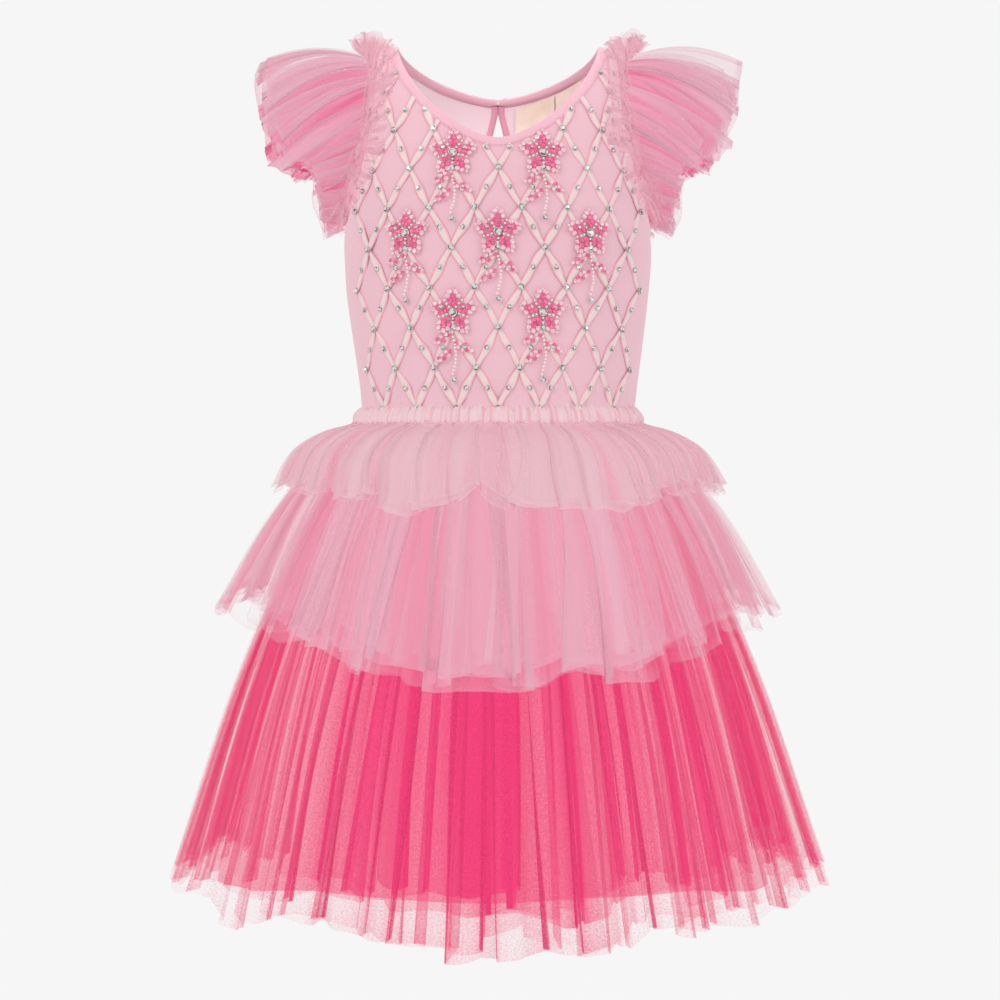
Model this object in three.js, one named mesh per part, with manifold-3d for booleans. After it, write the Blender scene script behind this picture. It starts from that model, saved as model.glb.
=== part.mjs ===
// A toddler's party dress, worn shape with no wearer: a jersey bodice with a trellis of twisted ribbon,
// net flutter sleeves and a lining skirt under three gathered net tiers.
// Millimetres. X runs across the dress, the front faces -Y and +Z is up. The origin is where the wearer's
// shoulders hold the dress: the middle of the neck, level with the shoulder tops.
import * as THREE from "three";
import { mergeVertices } from "three/addons/utils/BufferGeometryUtils.js";
import Module from "manifold-3d";

const wasm = await Module();
wasm.setup();

// Driving sizes
const seamGap = 0.3;
const jerseyWall = 1.4;
const netWall = 1.2;
const waistHeight = -241;
const sectionPower = 2.3; // a body section lies between an ellipse, 2, and a box
const bodiceColumns = 40;

const neck = { halfWidth: 66, frontDrop: 67, backDrop: 28.5, frontPower: 1.6, backPower: 1.5 };
const binding = { width: 6.4, proud: 0.5, wall: 2.4, backSlit: 1.2 };
const keyhole = { top: -37, bottom: -86, halfWidth: 6.5, edging: 4.5, slit: 1.2 };
const armhole = { height: -66, halfHeight: 57, halfDepth: 36 };

// The bodice at each height: half its width, and its depth before and behind the side seams.
// The rows above zero close the form inside the neck opening, where it is cut away.
const bodiceLevels = [
  { height: waistHeight, halfWidth: 89, front: 75, back: 70 },
  { height: -213, halfWidth: 92.8, front: 77, back: 70 },
  { height: -187, halfWidth: 96.4, front: 78, back: 71 },
  { height: -160, halfWidth: 99.7, front: 77, back: 72 },
  { height: -134, halfWidth: 101, front: 76, back: 73 },
  { height: -100, halfWidth: 99.5, front: 73, back: 73 },
  { height: -68, halfWidth: 95, front: 67, back: 68 },
  { height: -40, halfWidth: 90, front: 60, back: 60 },
  { height: -20, halfWidth: 85, front: 47, back: 46 },
  { height: -10, halfWidth: 80, front: 33, back: 33 },
  { height: -4, halfWidth: 73, front: 20, back: 20 },
  { height: 0, halfWidth: 64, front: 12, back: 12 },
  { height: 8, halfWidth: 30, front: 4, back: 4 },
];
const bodiceRowHeights = [8, 2, -4, -10, -20, -36, -58, -84, -112, -142, -174, -207, waistHeight];

// The ribbon trellis: ribbons cross at every level, in columns counted from the centre front.
const trellis = {
  perQuarter: 9.6, // columns from the centre front to a side seam
  levelHeight: -137.7, // a crossing on the centre front
  levelStep: 25.6,
  topLevel: 4,
  bottomLevel: -5,
  lastColumn: 7,
  halfRibbon: 0.1, // in steps across the ribbons
  clear: 0.65,
  wall: 1.2,
  fromBinding: 1,
  fromArmhole: 9, // the shoulder frill lies over their ends
};

// Skirt tiers at each drop below the waist: half the width, and the height of the gather folds.
const tiers = {
  peplum: {
    folds: 26, frontStretch: 0.36, depthShare: 0.86, color: 0xe6bcc6,
    rows: [
      { drop: 0, halfWidth: 91.6, fold: 0.15 },
      { drop: 8, halfWidth: 111, fold: 2 },
      { drop: 24, halfWidth: 134, fold: 4.3 },
      { drop: 46, halfWidth: 149, fold: 6 },
    ],
  },
  middle_tier: {
    folds: 30, frontStretch: 0.37, depthShare: 0.8, color: 0xe89cb4,
    rows: [
      { drop: 0, halfWidth: 89.2, fold: 0.15 },
      { drop: 28, halfWidth: 119, fold: 2.8 },
      { drop: 72, halfWidth: 153, fold: 4.6 },
      { drop: 126, halfWidth: 183, fold: 5.5 },
    ],
  },
  lower_tier: {
    folds: 36, frontStretch: 0.1, depthShare: 0.75, color: 0xe84a7c,
    rows: [
      { drop: 0, halfWidth: 86.9, fold: 0.15 },
      { drop: 60, halfWidth: 122, fold: 3 },
      { drop: 170, halfWidth: 172, fold: 4.8 },
      { drop: 303, halfWidth: 217, fold: 6.2 },
    ],
  },
  lining: {
    folds: 9, frontStretch: 0, depthShare: 0.72, color: 0xefb3ba,
    rows: [
      { drop: 0, halfWidth: 84.7, fold: 0 },
      { drop: 70, halfWidth: 114, fold: 1 },
      { drop: 180, halfWidth: 146, fold: 3.4 },
      { drop: 306, halfWidth: 172, fold: 6.5 },
    ],
  },
};

// The largest folds on the front hems: where they lie, in degrees round from +X, how wide they spread,
// how far the hem lifts and how far the fold sinks in.
const frontFolds = {
  peplum: [
    { at: 250, spread: 5, lift: -5, sink: -3 },
    { at: 266, spread: 3.5, lift: 13, sink: 5 },
    { at: 302, spread: 6, lift: -5, sink: -3 },
  ],
  middle_tier: [
    { at: 232, spread: 5, lift: 8, sink: 3 },
    { at: 258, spread: 8, lift: -4, sink: -3 },
    { at: 283, spread: 3, lift: 6, sink: 4 },
    { at: 300, spread: 9, lift: -3, sink: -3 },
  ],
  lower_tier: [
    { at: 243, spread: 6, lift: 6, sink: 3 },
    { at: 281, spread: 5, lift: -5, sink: -4 },
    { at: 292, spread: 3, lift: 5, sink: 4 },
  ],
  lining: [],
};

// A flutter sleeve at each angle round the armhole, from 0 at the front to 90 at the shoulder:
// its length, how far it hangs for each unit outwards, and how far it spreads forwards.
const sleeveRows = [
  { angle: -76, length: 16, down: 1.3, spread: 0.9 },
  { angle: -35, length: 35, down: 0.95, spread: 0.6 },
  { angle: 0, length: 57, down: 0.6, spread: 0.5 },
  { angle: 35, length: 73, down: 0.3, spread: 0.4 },
  { angle: 90, length: 82, down: -0.36, spread: 0.3 },
];
const sleeveLayers = {
  outer: { folds: 10, reach: 1, inset: 0, color: 0xe7a6ba },
  inner: { folds: 10, reach: 0.84, inset: 5, color: 0xe86f96 },
};
const sleeve = { clearOfBodice: 0.7, droop: 27, edgeFold: 5, rootFold: 0.5, rows: 3 };

// The frill along the sleeve seam at each of the same angles: how far it lies over the bodice and how far
// its edge rises from it.
const trimTable = [
  { angle: -62, over: 7, rise: 3 },
  { angle: -30, over: 15, rise: 5 },
  { angle: 0, over: 18, rise: 6 },
  { angle: 45, over: 16, rise: 7 },
  { angle: 90, over: -2, rise: 13 },
];
const shoulderTrim = { folds: 10, fromEdge: 2, clear: 1.7, wave: 1.1, color: 0xe9b9c2 };
const heading = { folds: 18, top: 7, clear: 0.5, wall: 1.3, puff: 2.4, wave: 0.7, color: 0xe9bcc6 };

const label = { left: 12, width: 26, height: 16, tabWidth: 17, wall: 1, color: 0xedd3c4 };
const button = {
  across: 5.4, height: -33, radius: 3.6, thickness: 1.6, clear: 0.35, loopGap: 1.2, loopRadius: 0.7,
  color: 0xe9b3c0,
};

const columnsPerFold = 4;
const radians = THREE.MathUtils.degToRad;

// A smooth curve through every column of a table, read by the value of one column.
function curveThrough(rows, along) {
  const sorted = [...rows].sort((a, b) => a[along] - b[along]);
  const names = Object.keys(sorted[0]).filter((name) => name !== along);
  const slope = (i, name) => {
    const before = sorted[Math.max(i - 1, 0)];
    const after = sorted[Math.min(i + 1, sorted.length - 1)];
    return (after[name] - before[name]) / (after[along] - before[along]);
  };
  return (value) => {
    const found = sorted.findIndex((row) => row[along] >= value);
    const i = found < 0 ? sorted.length - 1 : Math.max(found, 1);
    const [a, b] = [sorted[i - 1], sorted[i]];
    const span = b[along] - a[along];
    const t = THREE.MathUtils.clamp((value - a[along]) / span, 0, 1);
    const made = { [along]: value };
    for (const name of names) {
      const start = (2 * t ** 3 - 3 * t ** 2 + 1) * a[name];
      const end = (3 * t ** 2 - 2 * t ** 3) * b[name];
      const leaving = (t ** 3 - 2 * t ** 2 + t) * span * slope(i - 1, name);
      const arriving = (t ** 3 - t ** 2) * span * slope(i, name);
      made[name] = start + end + leaving + arriving;
    }
    return made;
  };
}

const bodiceAt = curveThrough(bodiceLevels, "height");

// A point on a rounded body section, at an angle about Z from +X.
function sectionPoint(level, turn) {
  const power = 2 / sectionPower;
  const [across, along] = [Math.cos(turn), Math.sin(turn)];
  const depth = along < 0 ? level.front : level.back;
  return new THREE.Vector3(
    level.halfWidth * Math.sign(across) * Math.abs(across) ** power,
    depth * Math.sign(along) * Math.abs(along) ** power,
    level.height,
  );
}

// How far the bodice reaches in Y at one X and height, on the front (-1) or the back (1).
function bodiceY(x, height, side) {
  const level = bodiceAt(height);
  const depth = side < 0 ? level.front : level.back;
  const share = Math.max(1 - (Math.abs(x) / level.halfWidth) ** sectionPower, 0);
  return side * depth * share ** (1 / sectionPower);
}

// How far it reaches in X at one Y and height.
function bodiceX(y, height) {
  const level = bodiceAt(height);
  const depth = y < 0 ? level.front : level.back;
  const share = Math.max(1 - (Math.abs(y) / depth) ** sectionPower, 0);
  return level.halfWidth * share ** (1 / sectionPower);
}

// An open sheet of cloth as points and four-sided faces, from rows of points. Rows run down and columns
// run anticlockwise as seen from above, so that the faces point out.
function sheetFromRows(rows, closed) {
  const columns = rows[0].length;
  const faces = [];
  for (let r = 0; r + 1 < rows.length; r++) {
    for (let c = 0; c < (closed ? columns : columns - 1); c++) {
      const next = (c + 1) % columns;
      faces.push([r * columns + c, (r + 1) * columns + c, (r + 1) * columns + next, r * columns + next]);
    }
  }
  return { points: rows.flat(), faces };
}

function pointNormals({ points, faces }) {
  const normals = points.map(() => new THREE.Vector3());
  for (const face of faces) {
    const [a, b, c, d] = face.map((index) => points[index]);
    const normal = new THREE.Vector3().crossVectors(c.clone().sub(a), d.clone().sub(b));
    face.forEach((index) => normals[index].add(normal));
  }
  return normals.map((normal) => normal.normalize());
}

// A closed wall from a sheet, with its outer face `proud` of it and its inner face `wall` behind that.
function wallSolid(sheet, wall, proud = 0) {
  const normals = pointNormals(sheet);
  const moved = (distance) => sheet.points.map((p, i) => p.clone().addScaledVector(normals[i], distance));
  const points = [...moved(proud), ...moved(proud - wall)];
  const inner = sheet.points.length;
  const triangles = [];
  const edges = new Map();
  for (const [a, b, c, d] of sheet.faces) {
    triangles.push([a, b, c], [a, c, d]);
    triangles.push([a + inner, c + inner, b + inner], [a + inner, d + inner, c + inner]);
    [[a, b], [b, c], [c, d], [d, a]].forEach(([from, to]) => edges.set(`${from} ${to}`, [from, to]));
  }
  for (const [from, to] of edges.values()) {
    if (edges.has(`${to} ${from}`)) continue;
    triangles.push([to, from, from + inner], [to, from + inner, to + inner]);
  }
  return solidFrom(points.flatMap((p) => p.toArray()), triangles.flat());
}

function solidFrom(positions, indices) {
  return new wasm.Manifold(new wasm.Mesh({
    numProp: 3,
    vertProperties: new Float32Array(positions),
    triVerts: new Uint32Array(indices),
  }));
}

function solidOfGeometry(geometry) {
  const bare = geometry.index ? geometry.toNonIndexed() : geometry.clone();
  bare.deleteAttribute("normal");
  bare.deleteAttribute("uv");
  const merged = mergeVertices(bare, 1e-3);
  return solidFrom(merged.attributes.position.array, merged.index.array);
}

function geometryOfSolid(solid) {
  const mesh = solid.getMesh();
  const geometry = new THREE.BufferGeometry();
  geometry.setAttribute("position", new THREE.BufferAttribute(new Float32Array(mesh.vertProperties), 3));
  geometry.setIndex(new THREE.BufferAttribute(new Uint32Array(mesh.triVerts), 1));
  geometry.computeVertexNormals();
  return geometry;
}

// A block that covers everything with Y between two values.
function slabBetween(low, high) {
  const reach = 1200;
  const geometry = new THREE.BoxGeometry(reach, high - low, reach);
  geometry.translate(0, (low + high) / 2, 0);
  return solidOfGeometry(geometry);
}

// A block over the centre back, as wide as the slit between the two ends of the neck binding.
function slabAcross(width) {
  const reach = 140;
  const geometry = new THREE.BoxGeometry(width, reach, 2 * reach);
  geometry.translate(0, reach / 2, 0);
  return solidOfGeometry(geometry);
}

// A cutter with an outline in X and Z, as seen from the front, that reaches from one Y to another.
function cutterFromFront(outline, low, high) {
  const options = { depth: high - low, bevelEnabled: false };
  const geometry = new THREE.ExtrudeGeometry(new THREE.Shape(outline), options);
  geometry.rotateX(Math.PI / 2);
  geometry.translate(0, high, 0);
  return solidOfGeometry(geometry);
}

function neckOutline(grow, drop, power) {
  const steps = 14;
  const above = 60;
  const halfWidth = neck.halfWidth + grow;
  const outline = [];
  for (let i = 0; i <= steps; i++) {
    const x = -halfWidth * Math.cos((Math.PI * i) / steps);
    const share = Math.max(1 - (Math.abs(x) / halfWidth) ** power, 0);
    outline.push(new THREE.Vector2(x, -(drop + grow) * share ** (1 / power)));
  }
  outline.push(new THREE.Vector2(halfWidth, above), new THREE.Vector2(-halfWidth, above));
  return outline;
}

function neckCutter(grow) {
  const reach = 140;
  const front = cutterFromFront(neckOutline(grow, neck.frontDrop, neck.frontPower), -reach, 1);
  const back = cutterFromFront(neckOutline(grow, neck.backDrop, neck.backPower), -1, reach);
  return front.add(back);
}

// The teardrop at the centre back, with the slit above it that opens the neck.
function keyholeCutter(grow) {
  const steps = 10;
  const above = 40;
  const halfSlit = keyhole.slit / 2 + grow;
  const bottom = keyhole.bottom - grow;
  const tall = keyhole.top - keyhole.bottom + 2 * grow;
  const rightSide = [new THREE.Vector2(0.01, bottom)];
  for (let i = 1; i <= steps; i++) {
    const share = (1 - Math.cos((Math.PI * i) / steps)) / 2;
    const teardrop = (keyhole.halfWidth + grow) * Math.sin(Math.PI * share ** 0.6);
    const least = share > 0.5 ? halfSlit : 0;
    rightSide.push(new THREE.Vector2(Math.max(teardrop, least), bottom + tall * share));
  }
  rightSide.push(new THREE.Vector2(halfSlit, above));
  const leftSide = rightSide.map((p) => new THREE.Vector2(-p.x, p.y)).reverse();
  return cutterFromFront([...rightSide, ...leftSide], 5, 140);
}

function armholeCutters(grow) {
  const shape = new THREE.Shape();
  shape.absellipse(0, 0, armhole.halfDepth + grow, armhole.halfHeight + grow, 0, 2 * Math.PI);
  const options = { depth: 90, bevelEnabled: false, curveSegments: 16 };
  return [0, Math.PI].map((half) => {
    const geometry = new THREE.ExtrudeGeometry(shape, options);
    geometry.rotateX(Math.PI / 2);
    geometry.rotateZ(Math.PI / 2);
    geometry.translate(55, 0, armhole.height);
    geometry.rotateZ(half);
    return solidOfGeometry(geometry);
  });
}

function bodiceSheet() {
  const rows = bodiceRowHeights.map((height) => {
    const level = bodiceAt(height);
    return Array.from({ length: bodiceColumns }, (_, column) =>
      sectionPoint(level, (2 * Math.PI * column) / bodiceColumns),
    );
  });
  return sheetFromRows(rows, true);
}

// The angle at which the chest section has run a share of its length from the centre front to a side seam.
function turnTable() {
  const steps = 100;
  const pastSeam = 1.15;
  const chest = bodiceAt(-134);
  const turns = Array.from({ length: steps + 1 }, (_, i) => (pastSeam * Math.PI * i) / (2 * steps));
  const points = turns.map((turn) => sectionPoint(chest, turn - Math.PI / 2));
  const run = [0];
  for (let i = 1; i <= steps; i++) {
    run.push(run[i - 1] + points[i].distanceTo(points[i - 1]));
  }
  const toSeam = run[Math.round(steps / pastSeam)];
  return turns.map((turn, i) => ({ share: run[i] / toSeam, turn }));
}

const turnAtShare = curveThrough(turnTable(), "share");

function trellisPoint(column, level) {
  const turn = Math.sign(column) * turnAtShare(Math.abs(column) / trellis.perQuarter).turn - Math.PI / 2;
  return sectionPoint(bodiceAt(trellis.levelHeight + level * trellis.levelStep), turn);
}

// The ribbons as one net of four-sided faces. A ribbon that rises to the right runs along a, and one that
// falls to the right runs along b, so that the ribbons cross where a and b are both whole.
function trellisSheet() {
  const points = [];
  const found = new Map();
  const faces = [];
  const pointAt = (a, b) => {
    const key = `${a.toFixed(3)} ${b.toFixed(3)}`;
    if (!found.has(key)) {
      found.set(key, points.length);
      points.push(trellisPoint(a + b, a - b));
    }
    return found.get(key);
  };
  const addFace = (lowA, highA, lowB, highB) => {
    faces.push([pointAt(lowA, lowB), pointAt(lowA, highB), pointAt(highA, highB), pointAt(highA, lowB)]);
  };
  const isInside = (a, b) => {
    const [column, level] = [a + b, a - b];
    const { lastColumn, topLevel, bottomLevel } = trellis;
    return Math.abs(column) <= lastColumn && level <= topLevel && level >= bottomLevel;
  };
  const half = trellis.halfRibbon;
  const reach = trellis.lastColumn;
  for (let a = -reach; a <= reach; a++) {
    for (let b = -reach; b <= reach; b++) {
      if (!isInside(a, b)) continue;
      addFace(a - half, a + half, b - half, b + half);
      if (isInside(a + 1, b)) addFace(a + half, a + 1 - half, b - half, b + half);
      if (isInside(a, b + 1)) addFace(a - half, a + half, b + half, b + 1 - half);
    }
  }
  return { points, faces };
}

function largestBody(solid) {
  return solid.decompose().reduce((most, body) => (body.volume() > most.volume() ? body : most));
}

function bodicePieces() {
  const sheet = bodiceSheet();
  const shell = wallSolid(sheet, jerseyWall);
  const neckEdge = neckCutter(binding.width + seamGap);
  const armholes = armholeCutters(0);
  const halfSeam = seamGap / 2;
  const cut = (solid, ...cutters) => cutters.reduce((rest, cutter) => rest.subtract(cutter), solid);
  const front = cut(shell, neckEdge, ...armholes).intersect(slabBetween(-200, -halfSeam));
  const net = wallSolid(trellisSheet(), trellis.wall, trellis.clear + trellis.wall);
  const netEdges = [neckCutter(binding.width + trellis.fromBinding), ...armholeCutters(trellis.fromArmhole)];
  const ribbons = cut(net, ...netEdges).intersect(slabBetween(-200, -2 * seamGap));
  const aboveHeading = ribbons.trimByPlane([0, 0, 1], waistHeight + heading.top + seamGap);
  const back = cut(shell, neckEdge, ...armholes, keyholeCutter(keyhole.edging + seamGap));
  const thick = wallSolid(sheet, binding.wall, binding.proud);
  const slitInBinding = slabAcross(binding.backSlit);
  const neckBinding = cut(thick.intersect(neckCutter(binding.width)), neckCutter(0), slitInBinding);
  const edging = cut(thick.intersect(keyholeCutter(keyhole.edging)), keyholeCutter(0), neckEdge);
  return {
    bodice_front: { solid: front, color: 0xebc6ce },
    ribbon_trellis: { solid: largestBody(aboveHeading), color: 0xdcc0c2 },
    bodice_back: { solid: back.intersect(slabBetween(halfSeam, 200)), color: 0xebc6ce },
    neck_binding: { solid: neckBinding, color: 0xe9b8c4 },
    keyhole_edging: { solid: edging, color: 0xe8a4b6 },
  };
}

// The height of a gather fold at one column. Four columns make one fold, so its crest is flat.
function foldWave(column) {
  return Math.cos((2 * Math.PI * (column + 0.5)) / columnsPerFold) * Math.SQRT2;
}

// A skirt tier over one half of the body, from its seam at one side to its seam at the other.
function tierPanel(name, tier, start) {
  const tierAt = curveThrough(tier.rows, "drop");
  const folds = Math.round(tier.folds / 2);
  const columns = folds * columnsPerFold;
  const waist = bodiceAt(waistHeight);
  const rows = tier.rows.map(({ drop }, rowIndex) => {
    const { halfWidth, fold } = tierAt(drop);
    const share = rowIndex / (tier.rows.length - 1);
    const flare = (halfWidth - tier.rows[0].halfWidth) * tier.depthShare;
    const inset = waist.halfWidth - tier.rows[0].halfWidth;
    const seamAngle = (seamGap * 0.6) / halfWidth;
    return Array.from({ length: columns + 1 }, (_, column) => {
      const even = start + THREE.MathUtils.lerp(seamAngle, Math.PI - seamAngle, column / columns);
      const turn = even + 0.03 * Math.sin(6 * even) + 0.01 * Math.sin(22 * even);
      const big = frontFolds[name].map((row) => {
        const away = (THREE.MathUtils.radToDeg(turn) - row.at) / row.spread;
        return { lift: row.lift * Math.exp(-away * away), sink: row.sink * Math.exp(-away * away) };
      });
      const lift = share * big.reduce((sum, one) => sum + one.lift, 0);
      const sink = share * big.reduce((sum, one) => sum + one.sink, 0);
      const uneven = 1 + 0.25 * Math.sin(7 * turn + 1) + 0.15 * Math.sin(13 * turn + 2);
      const wave = fold * uneven * foldWave(column) - sink;
      const level = {
        halfWidth: halfWidth + wave,
        front: waist.front - inset + flare + wave,
        back: waist.back - inset + flare + wave,
      };
      const stretch = 1 + tier.frontStretch * Math.sin(turn) ** 2;
      const ragged = share * fold * (0.5 * Math.sin(5 * turn) + 0.35 * Math.sin(11 * turn + 1));
      level.height = waistHeight - seamGap - drop * stretch + lift + ragged;
      return sectionPoint(level, turn);
    });
  });
  return wallSolid(sheetFromRows(rows, false), netWall);
}

function tierPieces() {
  const pieces = {};
  for (const [name, tier] of Object.entries(tiers)) {
    pieces[`${name}_front`] = { solid: tierPanel(name, tier, Math.PI), color: tier.color };
    pieces[`${name}_back`] = { solid: tierPanel(name, tier, 0), color: tier.color };
  }
  return pieces;
}

// The gathered heading that stands over the waist seam.
function headingSolid() {
  const columns = heading.folds * columnsPerFold;
  const rowShares = [0, 0.5, 1];
  const rows = rowShares.map((share) => {
    const height = waistHeight + heading.top * (1 - share);
    const waist = bodiceAt(height);
    const out = heading.clear + heading.wall + heading.puff * Math.sin(Math.PI * (0.15 + 0.7 * share));
    return Array.from({ length: columns }, (_, column) => {
      const wave = out + heading.wave * foldWave(column);
      const level = {
        halfWidth: waist.halfWidth + wave, front: waist.front + wave, back: waist.back + wave, height,
      };
      return sectionPoint(level, (2 * Math.PI * column) / columns);
    });
  });
  return wallSolid(sheetFromRows(rows, true), heading.wall);
}

const sleeveAt = curveThrough(sleeveRows, "angle");

// Where the sleeve is sewn, at an angle round the right armhole: 0 at the front, 90 over the shoulder.
function armholePoint(angle, shrink = 0) {
  const turn = radians(angle);
  const y = -(armhole.halfDepth - shrink) * Math.cos(turn);
  const height = armhole.height + (armhole.halfHeight - shrink) * Math.sin(turn);
  return new THREE.Vector3(bodiceX(y, height), y, height);
}

// The sleeve's angle measured from the front or from the back, whichever is nearer, so both halves match.
function nearAngle(angle) {
  return angle > 90 ? 180 - angle : angle;
}

function sleevePanel(layer, phase) {
  const columns = layer.folds * columnsPerFold;
  const lowest = sleeveRows[0].angle;
  const rows = [];
  for (let r = 0; r <= sleeve.rows; r++) {
    const share = (r / sleeve.rows) ** 0.85;
    rows.push(Array.from({ length: columns + 1 }, (_, column) => {
      const angle = THREE.MathUtils.lerp(lowest, 180 - lowest, column / columns);
      const row = sleeveAt(nearAngle(angle));
      const point = armholePoint(angle, layer.inset * 0.7);
      const turn = radians(angle);
      const out = new THREE.Vector3(1, -row.spread * Math.cos(turn), -row.down).normalize();
      const ragged = 1 + 0.07 * Math.sin(turn * 5 + phase);
      const inward = new THREE.Vector3(0, Math.cos(turn), -Math.sin(turn));
      const fold = THREE.MathUtils.lerp(sleeve.rootFold, sleeve.edgeFold, share) * foldWave(column);
      point.x += sleeve.clearOfBodice;
      point.addScaledVector(out, share * row.length * layer.reach * ragged);
      point.addScaledVector(inward, layer.inset * share - fold);
      point.z -= sleeve.droop * share * share * Math.max(Math.sin(turn), 0);
      return point;
    }));
  }
  return rows;
}

// How far outside the bodice a point lies, by share of its section, and the point nearest it on the bodice.
function bodiceShare(p) {
  const level = bodiceAt(p.z);
  const depth = p.y < 0 ? level.front : level.back;
  return (Math.abs(p.x) / level.halfWidth) ** sectionPower + (Math.abs(p.y) / depth) ** sectionPower - 1;
}

function bodiceSlope(p) {
  const step = 0.05;
  const along = (axis) => {
    const [ahead, behind] = [p.clone(), p.clone()];
    ahead[axis] += step;
    behind[axis] -= step;
    return (bodiceShare(ahead) - bodiceShare(behind)) / (2 * step);
  };
  return new THREE.Vector3(along("x"), along("y"), along("z"));
}

function bodiceNormal(p) {
  return bodiceSlope(p).normalize();
}

function ontoBodice(p) {
  const found = p.clone();
  for (let i = 0; i < 6; i++) {
    const slope = bodiceSlope(found);
    found.addScaledVector(slope, -bodiceShare(found) / slope.lengthSq());
  }
  return found;
}

const trimAt = curveThrough(trimTable, "angle");

// The gathered frill that lies from the sleeve seam over the bodice, and stands up on the shoulder.
function trimRows(phase) {
  const columns = shoulderTrim.folds * columnsPerFold;
  const lowest = trimTable[0].angle;
  return [1, 0.5, 0].map((share) => Array.from({ length: columns + 1 }, (_, column) => {
    const angle = THREE.MathUtils.lerp(lowest, 180 - lowest, column / columns);
    const { over, rise } = trimAt(nearAngle(angle));
    const onSeam = armholePoint(angle);
    const along = armholePoint(angle + 1).sub(armholePoint(angle - 1)).normalize();
    const inward = new THREE.Vector3().crossVectors(along, bodiceNormal(onSeam)).normalize();
    if (inward.x > 0) inward.negate();
    const point = ontoBodice(onSeam.addScaledVector(inward, shoulderTrim.fromEdge + over * share));
    const normal = bodiceNormal(point);
    const across = normal.clone().multiplyScalar(over).addScaledVector(inward, -rise).normalize();
    const uneven = share * (1 + 0.3 * Math.sin(angle / 9 + phase));
    point.addScaledVector(normal, shoulderTrim.clear + rise * share);
    return point.addScaledVector(across, shoulderTrim.wave * foldWave(column) * uneven);
  }));
}

function mirrored(rows) {
  return rows.map((row) => row.map((p) => new THREE.Vector3(-p.x, p.y, p.z)).reverse());
}

function sleevePieces() {
  const pieces = {};
  const sides = { right: 0.4, left: 2.1 };
  for (const [side, phase] of Object.entries(sides)) {
    const place = side === "left" ? mirrored : (rows) => rows;
    for (const [name, layer] of Object.entries(sleeveLayers)) {
      const sheet = sheetFromRows(place(sleevePanel(layer, phase)), false);
      pieces[`sleeve_${side}_${name}`] = { solid: wallSolid(sheet, netWall), color: layer.color };
    }
    const trim = sheetFromRows(place(trimRows(phase)), false);
    pieces[`shoulder_trim_${side}`] = { solid: wallSolid(trim, netWall), color: shoulderTrim.color };
  }
  return pieces;
}

// A blank satin label inside the back neck, and its second end folded up along the neckline.
function labelSheet(left, width, columns, topAt, height) {
  const rows = [0, 0.5, 1].map((share) => Array.from({ length: columns + 1 }, (_, column) => {
    const x = left + (width * (columns - column)) / columns;
    const z = topAt(x) - height * share;
    return new THREE.Vector3(x, bodiceY(x, z, 1) - jerseyWall - label.wall - 1.4 - share, z);
  }));
  return sheetFromRows(rows, false);
}

function labelPieces() {
  const belowBinding = (x) => {
    const halfWidth = neck.halfWidth + binding.width;
    const share = 1 - (Math.abs(x) / halfWidth) ** neck.backPower;
    return -(neck.backDrop + binding.width) * share ** (1 / neck.backPower) - 1;
  };
  const main = labelSheet(label.left, label.width, 6, belowBinding, label.height);
  const tabLeft = label.left + label.width + 1;
  const tab = labelSheet(tabLeft, label.tabWidth, 4, belowBinding, label.height * 0.7);
  return {
    neck_label: { solid: wallSolid(main, label.wall), color: label.color },
    neck_label_tab: { solid: wallSolid(tab, label.wall), color: label.color },
  };
}

// The button lies on the neck binding at the back, with its loop round it.
function buttonPieces() {
  const middle = new THREE.Vector3(button.across, bodiceY(button.across, button.height, 1), button.height);
  const normal = bodiceNormal(middle);
  const facing = new THREE.Quaternion().setFromUnitVectors(new THREE.Vector3(0, 1, 0), normal);
  middle.addScaledVector(normal, binding.proud + button.clear + button.thickness);
  const dome = new THREE.SphereGeometry(button.radius, 12, 6);
  dome.scale(1, button.thickness / button.radius, 1);
  const loop = new THREE.TorusGeometry(button.radius + button.loopGap, button.loopRadius, 5, 16);
  loop.rotateX(Math.PI / 2);
  for (const geometry of [dome, loop]) {
    geometry.applyQuaternion(facing);
    geometry.translate(...middle);
  }
  return {
    back_button: { solid: solidOfGeometry(dome), color: button.color },
    button_loop: { solid: solidOfGeometry(loop), color: button.color },
  };
}

function buildDress() {
  const dress = new THREE.Group();
  const pieces = {
    ...bodicePieces(),
    ...sleevePieces(),
    waist_heading: { solid: headingSolid(), color: heading.color },
    ...tierPieces(),
    ...labelPieces(),
    ...buttonPieces(),
  };
  for (const [name, { solid, color }] of Object.entries(pieces)) {
    const material = new THREE.MeshStandardMaterial({ color, roughness: 0.85, metalness: 0 });
    const mesh = new THREE.Mesh(geometryOfSolid(solid), material);
    mesh.name = name;
    dress.add(mesh);
  }
  return dress;
}

export default buildDress();
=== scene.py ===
# A toddler's party dress, hollow as worn: a jersey bodice with a ribbon trellis, net sleeves and net tiers.
# Sizes in the dictionaries are millimetres; meshes are metres, in the frame's own axes.
import math

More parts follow.
